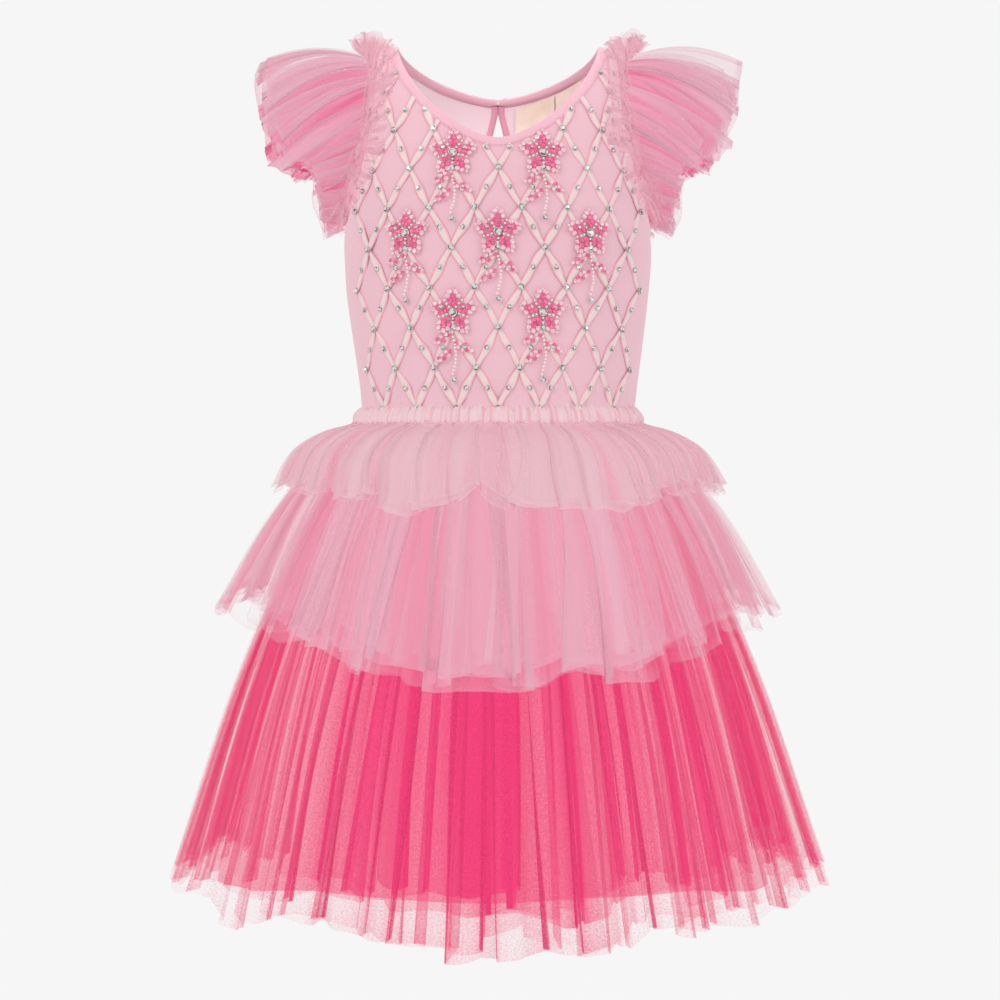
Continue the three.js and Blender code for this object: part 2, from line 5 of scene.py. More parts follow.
import bmesh
import bpy
import numpy as np
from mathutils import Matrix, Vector


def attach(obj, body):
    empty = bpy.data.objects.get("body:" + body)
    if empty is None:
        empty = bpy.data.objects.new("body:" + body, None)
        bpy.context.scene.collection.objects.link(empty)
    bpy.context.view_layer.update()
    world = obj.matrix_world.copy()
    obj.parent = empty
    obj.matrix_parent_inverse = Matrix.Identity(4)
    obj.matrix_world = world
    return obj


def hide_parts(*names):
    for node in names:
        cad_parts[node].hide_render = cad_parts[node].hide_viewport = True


mm = 0.001
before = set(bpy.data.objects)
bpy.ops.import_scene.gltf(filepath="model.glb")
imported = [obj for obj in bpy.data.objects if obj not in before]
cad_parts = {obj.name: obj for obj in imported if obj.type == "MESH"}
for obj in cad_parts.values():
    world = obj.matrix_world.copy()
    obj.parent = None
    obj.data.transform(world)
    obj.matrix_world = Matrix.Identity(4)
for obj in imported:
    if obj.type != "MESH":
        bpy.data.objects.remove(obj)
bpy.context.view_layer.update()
print("frame loaded:", len(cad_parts), "solids")


# Camera, light and stage

studio = {
    "cameraPlace": (0.0013, -2.2, -0.299),
    "lens": 120.0,
    "floorHeight": -0.79,
    "worldStrength": 0.78,
    "lamps": [  # place, aim, size, power, spread in degrees, colour
        ((-1.5, -1.9, 1.3), (0, 0, -0.3), 1.5, 17.0, 180, (1.0, 0.985, 0.97)),
        ((1.8, -1.6, 0.5), (0, 0, -0.3), 1.8, 9.0, 180, (0.97, 0.98, 1.0)),
        ((0.0, 1.2, 1.5), (0, 0, -0.3), 1.2, 8.0, 180, (1.0, 1.0, 1.0)),
        ((0.0, -1.0, 0.75), (0, 0.06, -0.05), 0.12, 0.014, 6, (1.0, 0.99, 0.98)),
    ],
}


def placed(name, data):
    made = bpy.data.objects.new(name, data)
    bpy.context.scene.collection.objects.link(made)
    return made


def makeCamera():
    camera = placed("studioCamera", bpy.data.cameras.new("studioCamera"))
    camera.data.lens = studio["lens"]
    camera.data.sensor_width = 36
    camera.data.clip_end = 50
    camera.location = studio["cameraPlace"]
    camera.rotation_euler = (math.pi / 2, 0, 0)
    bpy.context.scene.camera = camera


def makeLight():
    world = bpy.data.worlds.new("studioWorld")
    bpy.context.scene.world = world
    world.use_nodes = True
    background = world.node_tree.nodes["Background"]
    background.inputs["Color"].default_value = (1, 1, 1, 1)
    background.inputs["Strength"].default_value = studio["worldStrength"]
    for number, (place, aimed, size, power, spread, color) in enumerate(studio["lamps"]):
        lamp = bpy.data.lights.new(f"softbox{number}", "AREA")
        lamp.size = size
        lamp.energy = power
        lamp.spread = math.radians(spread)
        lamp.color = color
        holder = placed(f"softbox{number}", lamp)
        holder.location = place
        aim = Vector(aimed) - Vector(place)
        holder.rotation_euler = aim.to_track_quat("-Z", "Y").to_euler()
    bpy.context.scene.view_settings.view_transform = "Standard"
    bpy.context.scene.cycles.transparent_max_bounces = 64


# Shader helpers

def newMaterial(name, **values):
    material = bpy.data.materials.new(name)
    material.use_nodes = True
    shader = material.node_tree.nodes["Principled BSDF"]
    for socket, value in values.items():
        shader.inputs[socket.replace("_", " ")].default_value = value
    return material, material.node_tree, shader


# A node whose inputs are each linked to a socket or set to a value
def addNode(tree, kind, inputs=None, **settings):
    node = tree.nodes.new(kind)
    for name, value in settings.items():
        setattr(node, name, value)
    for key, value in (inputs or {}).items():
        if isinstance(value, bpy.types.NodeSocket):
            tree.links.new(value, node.inputs[key])
        else:
            node.inputs[key].default_value = value
    return node


def newGroup(name, inputs, outputs):
    group = bpy.data.node_groups.new(name, "ShaderNodeTree")
    for socket, value in inputs.items():
        made = group.interface.new_socket(name=socket, in_out="INPUT", socket_type="NodeSocketFloat")
        made.default_value = value
    for socket in outputs:
        group.interface.new_socket(name=socket, in_out="OUTPUT", socket_type="NodeSocketFloat")
    return group, group.nodes.new("NodeGroupInput"), group.nodes.new("NodeGroupOutput")


def mathOf(tree, operation, first, second=0.5, clamp=False):
    node = addNode(tree, "ShaderNodeMath", {0: first, 1: second}, operation=operation, use_clamp=clamp)
    return node.outputs[0]


def mixColors(tree, factor, first, second):
    return addNode(tree, "ShaderNodeMix", {0: factor, 6: first, 7: second}, data_type="RGBA").outputs[2]


# The last socket sets how strong the painted shade in a net's recesses is
netSockets = ("Sheerness", "Streaks", "Crease", "Streak Width", "Hem Edge", "Moire", "Recess Shade")
netAlpha = (0.06, 0.96)  # the least and the most that any place hides


# How dense a net looks at each place: long fine streaks where it gathers, a faint moire, and folded edges.
def makeNetGroup():
    group, given, result = newGroup("gatheredNet", dict.fromkeys(netSockets, 0.3), ("Alpha", "Recess"))
    place = addNode(group, "ShaderNodeUVMap", uv_map="cloth")
    parts = addNode(group, "ShaderNodeSeparateXYZ", {0: place.outputs[0]})
    across = mathOf(group, "DIVIDE", parts.outputs["X"], given.outputs["Streak Width"])
    down = mathOf(group, "MULTIPLY", parts.outputs["Y"], 0.012)
    along = addNode(group, "ShaderNodeCombineXYZ", {0: across, 1: down})
    streak = addNode(group, "ShaderNodeTexNoise", {0: along.outputs[0], "Scale": 1.0, "Detail": 1.0},
                     noise_dimensions="2D")
    fine = addNode(group, "ShaderNodeTexNoise", {0: place.outputs[0], "Scale": 0.8, "Detail": 0.0},
                   noise_dimensions="2D")
    crease = addNode(group, "ShaderNodeAttribute", attribute_name="crease")
    hem = addNode(group, "ShaderNodeAttribute", attribute_name="hem")
    fullness = addNode(group, "ShaderNodeAttribute", attribute_name="fullness")
    lines = mathOf(group, "SUBTRACT", streak.outputs["Fac"], 0.5)
    lines = mathOf(group, "MULTIPLY", lines, given.outputs["Streaks"])
    moire = mathOf(group, "SUBTRACT", fine.outputs["Fac"], 0.5)
    moire = mathOf(group, "MULTIPLY", moire, given.outputs["Moire"])
    folded = mathOf(group, "MULTIPLY", crease.outputs["Fac"], given.outputs["Crease"])
    edge = mathOf(group, "MULTIPLY", hem.outputs["Fac"], given.outputs["Hem Edge"])
    alpha = mathOf(group, "MULTIPLY", fullness.outputs["Fac"], given.outputs["Sheerness"])
    for part in (lines, moire, folded, edge):
        alpha = mathOf(group, "ADD", alpha, part)
    alpha = mathOf(group, "MAXIMUM", alpha, netAlpha[0])
    alpha = mathOf(group, "MINIMUM", alpha, netAlpha[1])
    group.links.new(alpha, result.inputs["Alpha"])
    # Painted shade: how far each place turns to the deeper colour, most in the pleats' recesses
    recess = addNode(group, "ShaderNodeAttribute", attribute_name="recess")
    recessShade = mathOf(group, "MULTIPLY", recess.outputs["Fac"], given.outputs["Recess Shade"], clamp=True)
    group.links.new(recessShade, result.inputs["Recess"])
    return group


def netMaterial(name, color, deep, values):
    material, tree, shader = newMaterial(name, Roughness=0.8, Sheen_Weight=0.12, Sheen_Roughness=0.5)
    shader.inputs["Sheen Tint"].default_value = (*color, 1)
    shader.inputs["Specular IOR Level"].default_value = 0.1
    net = tree.nodes.new("ShaderNodeGroup")
    net.node_tree = netGroup
    for socket, value in zip(netSockets, values):
        net.inputs[socket].default_value = value
    # The base colour with painted shade in the recesses, partly also the hot layers below seen through
    toneAndShade = mixColors(tree, net.outputs["Recess"], (*color, 1), (*deep, 1))
    tree.links.new(toneAndShade, shader.inputs["Base Color"])
    tree.links.new(net.outputs["Alpha"], shader.inputs["Alpha"])
    return material


# Fine knit loops for jersey, as a height
def makeKnitGroup():
    group, given, result = newGroup("jerseyKnit", {"Stitch": 0.9, "Mottle": 0.06}, ("Height", "Shade"))
    place = addNode(group, "ShaderNodeTexCoord")
    size = addNode(group, "ShaderNodeVectorMath", {0: place.outputs["Object"], 1: (1000, 1000, 1000)},
                   operation="MULTIPLY")
    parts = addNode(group, "ShaderNodeSeparateXYZ", {0: size.outputs[0]})
    rounds = []
    for axis, share in (("X", 0.16), ("Z", 0.22)):
        stitchSize = mathOf(group, "MULTIPLY", given.outputs["Stitch"], share)
        rounds.append(mathOf(group, "SINE", mathOf(group, "DIVIDE", parts.outputs[axis], stitchSize)))
    loops = mathOf(group, "MULTIPLY", *rounds)
    cloud = addNode(group, "ShaderNodeTexNoise", {0: place.outputs["Object"], "Scale": 28.0, "Detail": 3.0})
    shade = mathOf(group, "SUBTRACT", cloud.outputs["Fac"], 0.5)
    shade = mathOf(group, "MULTIPLY", shade, given.outputs["Mottle"])
    shade = mathOf(group, "ADD", shade, 1.0)
    group.links.new(loops, result.inputs["Height"])
    group.links.new(shade, result.inputs["Shade"])
    return group


def jerseyMaterial(name, color, stitch=0.9, bump=0.08):
    material, tree, shader = newMaterial(name, Roughness=0.82, Sheen_Weight=0.2, Sheen_Roughness=0.6)
    shader.inputs["Specular IOR Level"].default_value = 0.25
    knit = tree.nodes.new("ShaderNodeGroup")
    knit.node_tree = knitGroup
    knit.inputs["Stitch"].default_value = stitch
    raised = addNode(tree, "ShaderNodeBump", {"Height": knit.outputs["Height"], "Strength": bump,
                                              "Distance": 0.0004})
    scaled = addNode(tree, "ShaderNodeVectorMath", {0: (*color,), 1: knit.outputs["Shade"]},
                     operation="MULTIPLY")
    tree.links.new(scaled.outputs[0], shader.inputs["Base Color"])
    tree.links.new(raised.outputs[0], shader.inputs["Normal"])
    return material


# Satin ribbon: a soft sheen, threads along it, and a hot pink line along both edges, painted shadow where the
# ribbon meets the jersey
def ribbonMaterial(name, color, edgeShadowColor):
    material, tree, shader = newMaterial(name, Roughness=0.42, Sheen_Weight=0.3, Sheen_Roughness=0.4)
    shader.inputs["Specular IOR Level"].default_value = 0.45
    edge = addNode(tree, "ShaderNodeAttribute", attribute_name="edge")
    edgeShadow = addNode(tree, "ShaderNodeMapRange", {0: edge.outputs["Fac"], 1: 0.45, 2: 1.0, 3: 0.0, 4: 1.0})
    place = addNode(tree, "ShaderNodeUVMap", uv_map="cloth")
    stretched = addNode(tree, "ShaderNodeVectorMath", {0: place.outputs[0], 1: (4.0, 0.35, 1.0)},
                        operation="MULTIPLY")
    thread = addNode(tree, "ShaderNodeTexNoise", {0: stretched.outputs[0], "Scale": 1.0, "Detail": 2.0},
                     noise_dimensions="2D")
    light = mixColors(tree, thread.outputs["Fac"], (*(part * 0.8 for part in color), 1), (*color, 1))
    # Painted shadow: the ribbon's edges turn hot pink
    tree.links.new(mixColors(tree, edgeShadow.outputs[0], light, (*edgeShadowColor, 1)), shader.inputs["Base Color"])
    raised = addNode(tree, "ShaderNodeBump", {"Height": thread.outputs["Fac"], "Strength": 0.25,
                                              "Distance": 0.0005})
    tree.links.new(raised.outputs[0], shader.inputs["Normal"])
    return material


# Cut stones: each facet is dark or bright, a painted reflection of dark and light surroundings
def crystalMaterial(name):
    material, tree, shader = newMaterial(name, Roughness=0.06, Metallic=0.35, Coat_Weight=1.0,
                                         Coat_Roughness=0.02)
    paintedReflection = addNode(tree, "ShaderNodeAttribute", attribute_name="paintedReflection")
    ramp = addNode(tree, "ShaderNodeValToRGB", {0: paintedReflection.outputs["Fac"]})
    # Painted reflections: dark and bright facets
    ramp.color_ramp.elements[0].color = (0.03, 0.03, 0.035, 1)
    ramp.color_ramp.elements[1].color = (0.95, 0.93, 0.92, 1)
    tree.links.new(ramp.outputs[0], shader.inputs["Base Color"])
    return material


# Small things with a light mottle, so that no two look the same
def mottledMaterial(name, color, deep, scale, **values):
    material, tree, shader = newMaterial(name, **values)
    place = addNode(tree, "ShaderNodeTexCoord")
    cloud = addNode(tree, "ShaderNodeTexNoise", {0: place.outputs["Object"], "Scale": scale, "Detail": 2.0})
    spread = addNode(tree, "ShaderNodeMapRange", {0: cloud.outputs["Fac"], 1: 0.35, 2: 0.65, 3: 0.0, 4: 1.0})
    toneAndShade = mixColors(tree, spread.outputs[0], (*deep, 1), (*color, 1))
    tree.links.new(toneAndShade, shader.inputs["Base Color"])
    return material


nets = {  # colour, colour in the recesses (partly the hot layers below seen through, partly painted shade), and a value for each of netSockets
    "brightNet": ((0.87, 0.05, 0.19), (0.82, 0.03, 0.14), (0.36, 0.14, 0.36, 1.3, 0.05, 0.3, 0.6)),
    "roseNet": ((0.80, 0.44, 0.54), (0.87, 0.13, 0.27), (0.28, 0.05, 0.26, 1.8, 0.12, 0.04, 0.8)),
    "paleNet": ((0.78, 0.50, 0.56), (0.85, 0.22, 0.32), (0.42, 0.05, 0.34, 2.0, 0.1, 0.03, 0.9)),
    "frillNet": ((0.86, 0.47, 0.55), (0.88, 0.26, 0.40), (0.26, 0.1, 0.08, 1.2, 0.2, 0.05, 0.6)),
    "headingNet": ((0.84, 0.60, 0.64), (0.82, 0.34, 0.42), (0.95, 0.05, 0.05, 1.5, 0.2, 0.0, 0.6)),
    "sleeveNet": ((0.77, 0.43, 0.53), (0.86, 0.13, 0.28), (0.34, 0.12, 0.25, 1.6, 0.2, 0.05, 0.7)),
    "hotSleeve": ((0.86, 0.14, 0.31), (0.84, 0.06, 0.20), (0.4, 0.16, 0.28, 1.6, 0.2, 0.05, 0.6)),
}
netGroup = makeNetGroup()
knitGroup = makeKnitGroup()
finishes = {
    "jersey": jerseyMaterial("jersey", (0.82, 0.50, 0.575)),
    # The jersey's inside: paler, as its reverse side is, and lightened further as painted light where the
    # inner back lies in shade
    "jerseyInsideLightened": jerseyMaterial("jerseyInsideLightened", (0.96, 0.79, 0.84)),
    "binding": jerseyMaterial("binding", (0.85, 0.48, 0.57), stitch=0.8),
    "edging": jerseyMaterial("edging", (0.84, 0.38, 0.50), stitch=0.8),
    "lining": jerseyMaterial("lining", (0.88, 0.42, 0.49), stitch=0.5, bump=0.03),
    # The second colour is painted shadow along the ribbon's edges
    "ribbon": ribbonMaterial("ribbon", (0.92, 0.73, 0.71), (0.88, 0.30, 0.42)),
    "crystal": crystalMaterial("crystal"),
    "silver": mottledMaterial("silver", (0.82, 0.80, 0.78), (0.45, 0.43, 0.42), 900, Metallic=0.9,
                              Roughness=0.25),
    "hotSequin": mottledMaterial("hotSequin", (0.92, 0.16, 0.36), (0.80, 0.06, 0.22), 500, Metallic=0.25,
                                 Roughness=0.22, Coat_Weight=0.7, Coat_Roughness=0.08),
    "paleSequin": mottledMaterial("paleSequin", (0.93, 0.62, 0.68), (0.85, 0.42, 0.52), 500, Metallic=0.2,
                                  Roughness=0.2, Coat_Weight=0.7, Coat_Roughness=0.08),
    "pearl": mottledMaterial("pearl", (0.95, 0.86, 0.82), (0.90, 0.74, 0.72), 600, Roughness=0.2,
                             Coat_Weight=0.6, Coat_Roughness=0.1),
    "thread": mottledMaterial("thread", (0.86, 0.50, 0.58), (0.80, 0.40, 0.50), 1500, Roughness=0.7),
    "labelSatin": mottledMaterial("labelSatin", (0.96, 0.83, 0.70), (0.92, 0.77, 0.62), 160, Roughness=0.4,
                                  Sheen_Weight=0.3),
    "buttonPearl": mottledMaterial("buttonPearl", (0.88, 0.55, 0.62), (0.82, 0.46, 0.55), 400, Roughness=0.18,
                                   Coat_Weight=0.6),
}
for netName, netLook in nets.items():
    finishes[netName] = netMaterial(netName, *netLook)
print("materials made")


# Surfaces

# A smooth curve through a table whose first column is the key, as in the source of the solids.
def readCurve(table, value):
    table = np.array(sorted(table), float)
    value = np.asarray(value, float)
    keys = table[:, 0]
    step = np.clip(np.searchsorted(keys, value), 1, len(keys) - 1)
    after = np.minimum(np.arange(len(keys)) + 1, len(keys) - 1)
    before = np.maximum(np.arange(len(keys)) - 1, 0)
    slope = (table[after] - table[before]) / (keys[after] - keys[before])[:, None]
    low, high = table[step - 1], table[step]
    span = (high[..., 0] - low[..., 0])[..., None]
    t = np.clip((value - low[..., 0])[..., None] / span, 0, 1)
    start = (2 * t**3 - 3 * t**2 + 1) * low + (3 * t**2 - 2 * t**3) * high
    made = start + span * ((t**3 - 2 * t**2 + t) * slope[step - 1] + (t**3 - t**2) * slope[step])
    return [made[..., column] for column in range(1, table.shape[1])]


bodice = {
    "power": 2.3,
    "levels": [  # height, half width, depth in front, depth behind
        (-241, 89, 75, 70), (-213, 92.8, 77, 70), (-187, 96.4, 78, 71), (-160, 99.7, 77, 72),
        (-134, 101, 76, 73), (-100, 99.5, 73, 73), (-68, 95, 67, 68), (-40, 90, 60, 60), (-20, 85, 47, 46),
        (-10, 80, 33, 33), (-4, 73, 20, 20), (0, 64, 12, 12), (8, 30, 4, 4),
    ],
    "waist": -241,
    "wall": 1.2,
    "columns": 200,
    "rows": 96,
    "neckHalfWidth": 66,
    "neckFront": (67, 1.6),  # how far it drops, and the power of its curve
    "neckBack": (28.5, 1.5),
    "armhole": (-66, 57, 36),  # height of its middle, half height, half depth
    "keyhole": (-37, -86, 6.5, 0.1),  # top, bottom, half width, half slit
}


waistHalf, waistFront, waistBack = (
    size.item() for size in readCurve(bodice["levels"], [bodice["waist"]]))
keyholeMiddle = np.array([0, 60, -64])


def sectionPoint(height, turn, grow=0.0):
    halfWidth, front, back = readCurve(bodice["levels"], height)
    return roundedSection(halfWidth + grow, front + grow, back + grow, height, turn)


def roundedSection(halfWidth, front, back, height, turn):
    power = 2 / bodice["power"]
    across, along = np.cos(turn), np.sin(turn)
    depth = np.where(along < 0, front, back)
    x = halfWidth * np.sign(across) * np.abs(across) ** power
    y = depth * np.sign(along) * np.abs(along) ** power
    return np.stack([x, y, np.broadcast_to(height, x.shape)], -1)


# Above zero outside the bodice, and zero on it
def outsideBodice(points):
    halfWidth, front, back = readCurve(bodice["levels"], points[..., 2])
    depth = np.where(points[..., 1] < 0, front, back)
    power = bodice["power"]
    return np.abs(points[..., 0] / halfWidth) ** power + np.abs(points[..., 1] / depth) ** power - 1


def bodiceSlope(points):
    step = 0.05
    return np.stack([
        (outsideBodice(points + offset) - outsideBodice(points - offset)) / (2 * step)
        for offset in np.eye(3) * step
    ], -1)


def bodiceNormal(points):
    return unit(bodiceSlope(points))


def ontoBodice(points):
    found = np.array(points, float)
    for _ in range(6):
        slope = bodiceSlope(found)
        found -= slope * (outsideBodice(found) / (slope**2).sum(-1))[..., None]
    return found


def bodiceY(x, height, side):
    halfWidth, front, back = readCurve(bodice["levels"], height)
    depth = front if side < 0 else back
    share = np.maximum(1 - np.abs(x / halfWidth) ** bodice["power"], 0)
    return side * depth * share ** (1 / bodice["power"])


def unit(vectors):
    return vectors / np.maximum(np.linalg.norm(vectors, axis=-1, keepdims=True), 1e-9)


# Meshes

def meshFrom(name, points, faces, material, uv=None, marks=None, inside=None, insideFaces=None):
    mesh = bpy.data.meshes.new(name)
    faces = np.asarray(faces, np.int32)
    corners = faces.shape[1]
    mesh.vertices.add(len(points))
    mesh.vertices.foreach_set("co", (np.asarray(points, np.float32) * mm).ravel())
    mesh.loops.add(faces.size)
    mesh.loops.foreach_set("vertex_index", faces.ravel())
    mesh.polygons.add(len(faces))
    mesh.polygons.foreach_set("loop_start", np.arange(0, faces.size, corners, dtype=np.int32))
    if uv is not None:
        layer = mesh.uv_layers.new(name="cloth")
        layer.data.foreach_set("uv", np.asarray(uv, np.float32)[faces.ravel()].ravel())
    for mark, values in (marks or {}).items():
        attribute = mesh.attributes.new(mark, "FLOAT", "POINT")
        attribute.data.foreach_set("value", np.asarray(values, np.float32).ravel())
    mesh.update(calc_edges=True)
    mesh.validate()
    mesh.polygons.foreach_set("use_smooth", np.full(len(mesh.polygons), True))
    mesh.materials.append(material)
    if inside:
        mesh.materials.append(inside)
        which = np.zeros(len(mesh.polygons), np.int32)
        which[insideFaces] = 1
        mesh.polygons.foreach_set("material_index", which)
    return placed(name, mesh)


# Rows run down and columns run anticlockwise from above, so that the faces point out.
def gridFaces(rowCount, columnCount, closed, first=0):
    last = columnCount if closed else columnCount - 1
    row, column = np.meshgrid(np.arange(rowCount - 1), np.arange(last), indexing="ij")
    nextColumn = (column + 1) % columnCount
    here, below = row * columnCount, (row + 1) * columnCount
    corners = [here + column, below + column, below + nextColumn, here + nextColumn]
    return np.stack([corner.ravel() for corner in corners], -1) + first


def gridNormals(rows, closed):
    if closed:
        around = np.roll(rows, -1, 1) - np.roll(rows, 1, 1)
    else:
        around = np.gradient(rows, axis=1)
    down = np.gradient(rows, axis=0)
    return unit(np.cross(down, around))


# A closed wall: the rows are its outer face, and its inner face lies under them
def wallFrom(rows, closed, wall):
    rowCount, columnCount = rows.shape[:2]
    inner = rows - gridNormals(rows, closed) * wall
    points = np.concatenate([rows.reshape(-1, 3), inner.reshape(-1, 3)])
    count = rowCount * columnCount
    faces = [gridFaces(rowCount, columnCount, closed)]
    faces.append(gridFaces(rowCount, columnCount, closed, count)[:, ::-1])
    columns = np.arange(columnCount if closed else columnCount - 1)
    nextColumns = (columns + 1) % columnCount
    bottom = (rowCount - 1) * columnCount
    faces.append(np.stack([nextColumns, nextColumns + count, columns + count, columns], -1))
    faces.append(np.stack(
        [bottom + columns, bottom + columns + count, bottom + nextColumns + count, bottom + nextColumns], -1))
    if not closed:
        lines = np.arange(rowCount - 1) * columnCount
        left, right = lines, lines + columnCount - 1
        step = columnCount
        faces.append(np.stack([left, left + count, left + step + count, left + step], -1))
        faces.append(np.stack([right + step, right + step + count, right + count, right], -1))
    return points, np.concatenate(faces)


def sharpenEdges(piece, degrees=40):
    piece.data.set_sharp_from_angle(angle=math.radians(degrees))


def plainMesh(piece):
    view = bpy.context.evaluated_depsgraph_get()
    view.update()
    mesh = bpy.data.meshes.new_from_object(piece.evaluated_get(view))
    piece.modifiers.clear()
    old = piece.data
    piece.data = mesh
    bpy.data.meshes.remove(old)
    return piece


def combine(piece, cutter, operation):
    modifier = piece.modifiers.new("cut", "BOOLEAN")
    modifier.solver = "MANIFOLD"
    modifier.operation = operation
    modifier.object = cutter
    plainMesh(piece)
    bpy.data.objects.remove(cutter)


# A block with an outline of (x, z) points as seen from the front, or of (y, z) points if it runs along X
def prism(name, outline, low, high, alongX=False):
    outline = np.asarray(outline, float)
    count = len(outline)
    flat = [np.full(count, low), np.full(count, high)]
    ends = []
    for depth in flat:
        columns = (depth, outline[:, 0], outline[:, 1]) if alongX else (outline[:, 0], depth, outline[:, 1])
        ends.append(np.stack(columns, -1))
    mesh = bpy.data.meshes.new(name)
    index = list(range(count))
    sides = [(i, (i + 1) % count, (i + 1) % count + count, i + count) for i in index]
    faces = [index[::-1], [i + count for i in index], *sides]
    mesh.from_pydata((np.concatenate(ends) * mm).tolist(), [], faces)
    mesh.update()
    if signedVolume(mesh) < 0:
        mesh.flip_normals()
    return placed(name, mesh)


def signedVolume(mesh):
    mesh.calc_loop_triangles()
    total = 0.0
    for triangle in mesh.loop_triangles:
        a, b, c = (mesh.vertices[i].co for i in triangle.vertices)
        total += a.dot(b.cross(c))
    return total


def neckLine(x, side, grow=0.0):
    drop, power = bodice["neckFront"] if side < 0 else bodice["neckBack"]
    halfWidth = bodice["neckHalfWidth"] + grow
    share = np.maximum(1 - (np.abs(x) / halfWidth) ** power, 0)
    return -(drop + grow) * share ** (1 / power)


def neckCutter(side, grow=0.0):
    halfWidth = bodice["neckHalfWidth"] + grow
    x = -halfWidth * np.cos(np.linspace(0, math.pi, 61))
    outline = np.stack([x, neckLine(x, side, grow)], -1).tolist()
    outline += [(halfWidth, 60), (-halfWidth, 60)]
    low, high = (-140, 0.4) if side < 0 else (-0.4, 140)
    return prism("neckCutter", outline, low, high)


def keyholeOutline(grow, steps=40):
    top, bottom, halfWidth, halfSlit = bodice["keyhole"]
    share = (1 - np.cos(np.linspace(0, math.pi, steps))) / 2
    wide = (halfWidth + grow) * np.sin(math.pi * share**0.6)
    wide = np.where(share > 0.5, np.maximum(wide, halfSlit + grow), wide)
    height = bottom - grow + (top - bottom + 2 * grow) * share
    return wide, height


def keyholeCutter(grow):
    wide, height = keyholeOutline(grow)
    wide[0] = 0.01
    wide, height = np.append(wide, wide[-1]), np.append(height, 40)
    outline = np.concatenate([np.stack([wide, height], -1), np.stack([-wide, height], -1)[::-1]])
    return prism("keyholeCutter", outline, 5, 140)


def armholeCutter(side):
    middle, halfHeight, halfDepth = bodice["armhole"]
    turn = np.linspace(0, 2 * math.pi, 96, endpoint=False)
    outline = np.stack([halfDepth * np.cos(turn), middle + halfHeight * np.sin(turn)], -1)
    low, high = (55, 150) if side > 0 else (-150, -55)
    return prism("armholeCutter", outline, low, high, alongX=True)


# Soft drags in the jersey: short gathers over the waist and faint folds from the armholes
def jerseyFolds(height, turn):
    nearWaist = np.exp(-((height - bodice["waist"]) / 14) ** 2)
    gathers = 0.5 * nearWaist * (np.sin(61 * turn) + 0.6 * np.sin(97 * turn + 1))
    armDrag = np.exp(-((height + 128) / 26) ** 2) * np.exp(-((np.abs(np.cos(turn)) - 0.86) / 0.16) ** 2)
    drags = 0.7 * armDrag * np.sin(height * 0.16 + 7 * turn)
    slack = 0.35 * np.sin(height * 0.05 + 3 * turn) * np.sin(2 * turn + 1)
    return gathers + drags + slack


def makeBodice():
    spread = np.linspace(0, 1, bodice["rows"])
    top = bodice["levels"][-1][0]
    height = top - (top - bodice["waist"]) * spread**1.25
    turn = np.linspace(0, 2 * math.pi, bodice["columns"], endpoint=False)
    height, turn = np.meshgrid(height, turn, indexing="ij")
    rows = sectionPoint(height, turn, jerseyFolds(height, turn))
    for side, name in ((-1, "bodiceFront"), (1, "bodiceBack")):
        points, faces = wallFrom(rows, True, bodice["wall"])
        sheetFaces = (bodice["rows"] - 1) * bodice["columns"]
        piece = meshFrom(name, points, faces, finishes["jersey"], inside=finishes["jerseyInsideLightened"],
                         insideFaces=slice(sheetFaces, 2 * sheetFaces))
        combine(piece, neckCutter(side, 3.0), "DIFFERENCE")
        for armSide in (-1, 1):
            combine(piece, armholeCutter(armSide), "DIFFERENCE")
        if side > 0:
            combine(piece, keyholeCutter(2.0), "DIFFERENCE")
        half = [(-200, -400), (200, -400), (200, 60), (-200, 60)]
        low, high = (-200, -0.05) if side < 0 else (0.05, 200)
        combine(piece, prism("half", half, low, high), "INTERSECT")
        sharpenEdges(piece)
        node = "bodice_front" if side < 0 else "bodice_back"
        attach(piece, "root")
        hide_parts(node)


# A rolled band along a line on the bodice. Each step of the section is (distance from the line, height).
def bandOnBodice(line, section, away):
    aside = unit(np.cross(unit(np.gradient(line, axis=0)), bodiceNormal(line)))
    if (aside * away).sum(-1).mean() < 0:
        aside = -aside
    ring = []
    for distance, height in section:
        base = ontoBodice(line + aside * distance)
        ring.append(base + bodiceNormal(base) * height)
    return np.stack(ring, 0)


def tubeFrom(ring, closed):
    steps, length = ring.shape[:2]
    parts = [gridFaces(steps + 1, length, closed) % (steps * length)]
    if not closed:
        for end in (0, length - 1):
            loop = np.arange(steps) * length + end
            middle = np.array([[loop[0], loop[i], loop[i + 1], loop[i + 1]] for i in range(1, steps - 1)])
            parts.append(middle if end else middle[:, ::-1])
    return ring.reshape(-1, 3), np.concatenate(parts)


def fixOutward(piece):
    body = bmesh.new()
    body.from_mesh(piece.data)
    bmesh.ops.remove_doubles(body, verts=body.verts, dist=1e-6)
    bmesh.ops.dissolve_degenerate(body, edges=body.edges, dist=1e-7)
    bmesh.ops.recalc_face_normals(body, faces=body.faces)
    body.to_mesh(piece.data)
    body.free()
    return piece


def resample(line, count):
    run = np.concatenate([[0], np.cumsum(np.linalg.norm(np.diff(line, axis=0), axis=-1))])
    at = np.linspace(0, run[-1], count)
    return np.stack([np.interp(at, run, line[:, axis]) for axis in range(3)], -1)


def smoothLine(line, rounds=3):
    for _ in range(rounds):
        line[1:-1] = 0.25 * line[:-2] + 0.5 * line[1:-1] + 0.25 * line[2:]
    return line


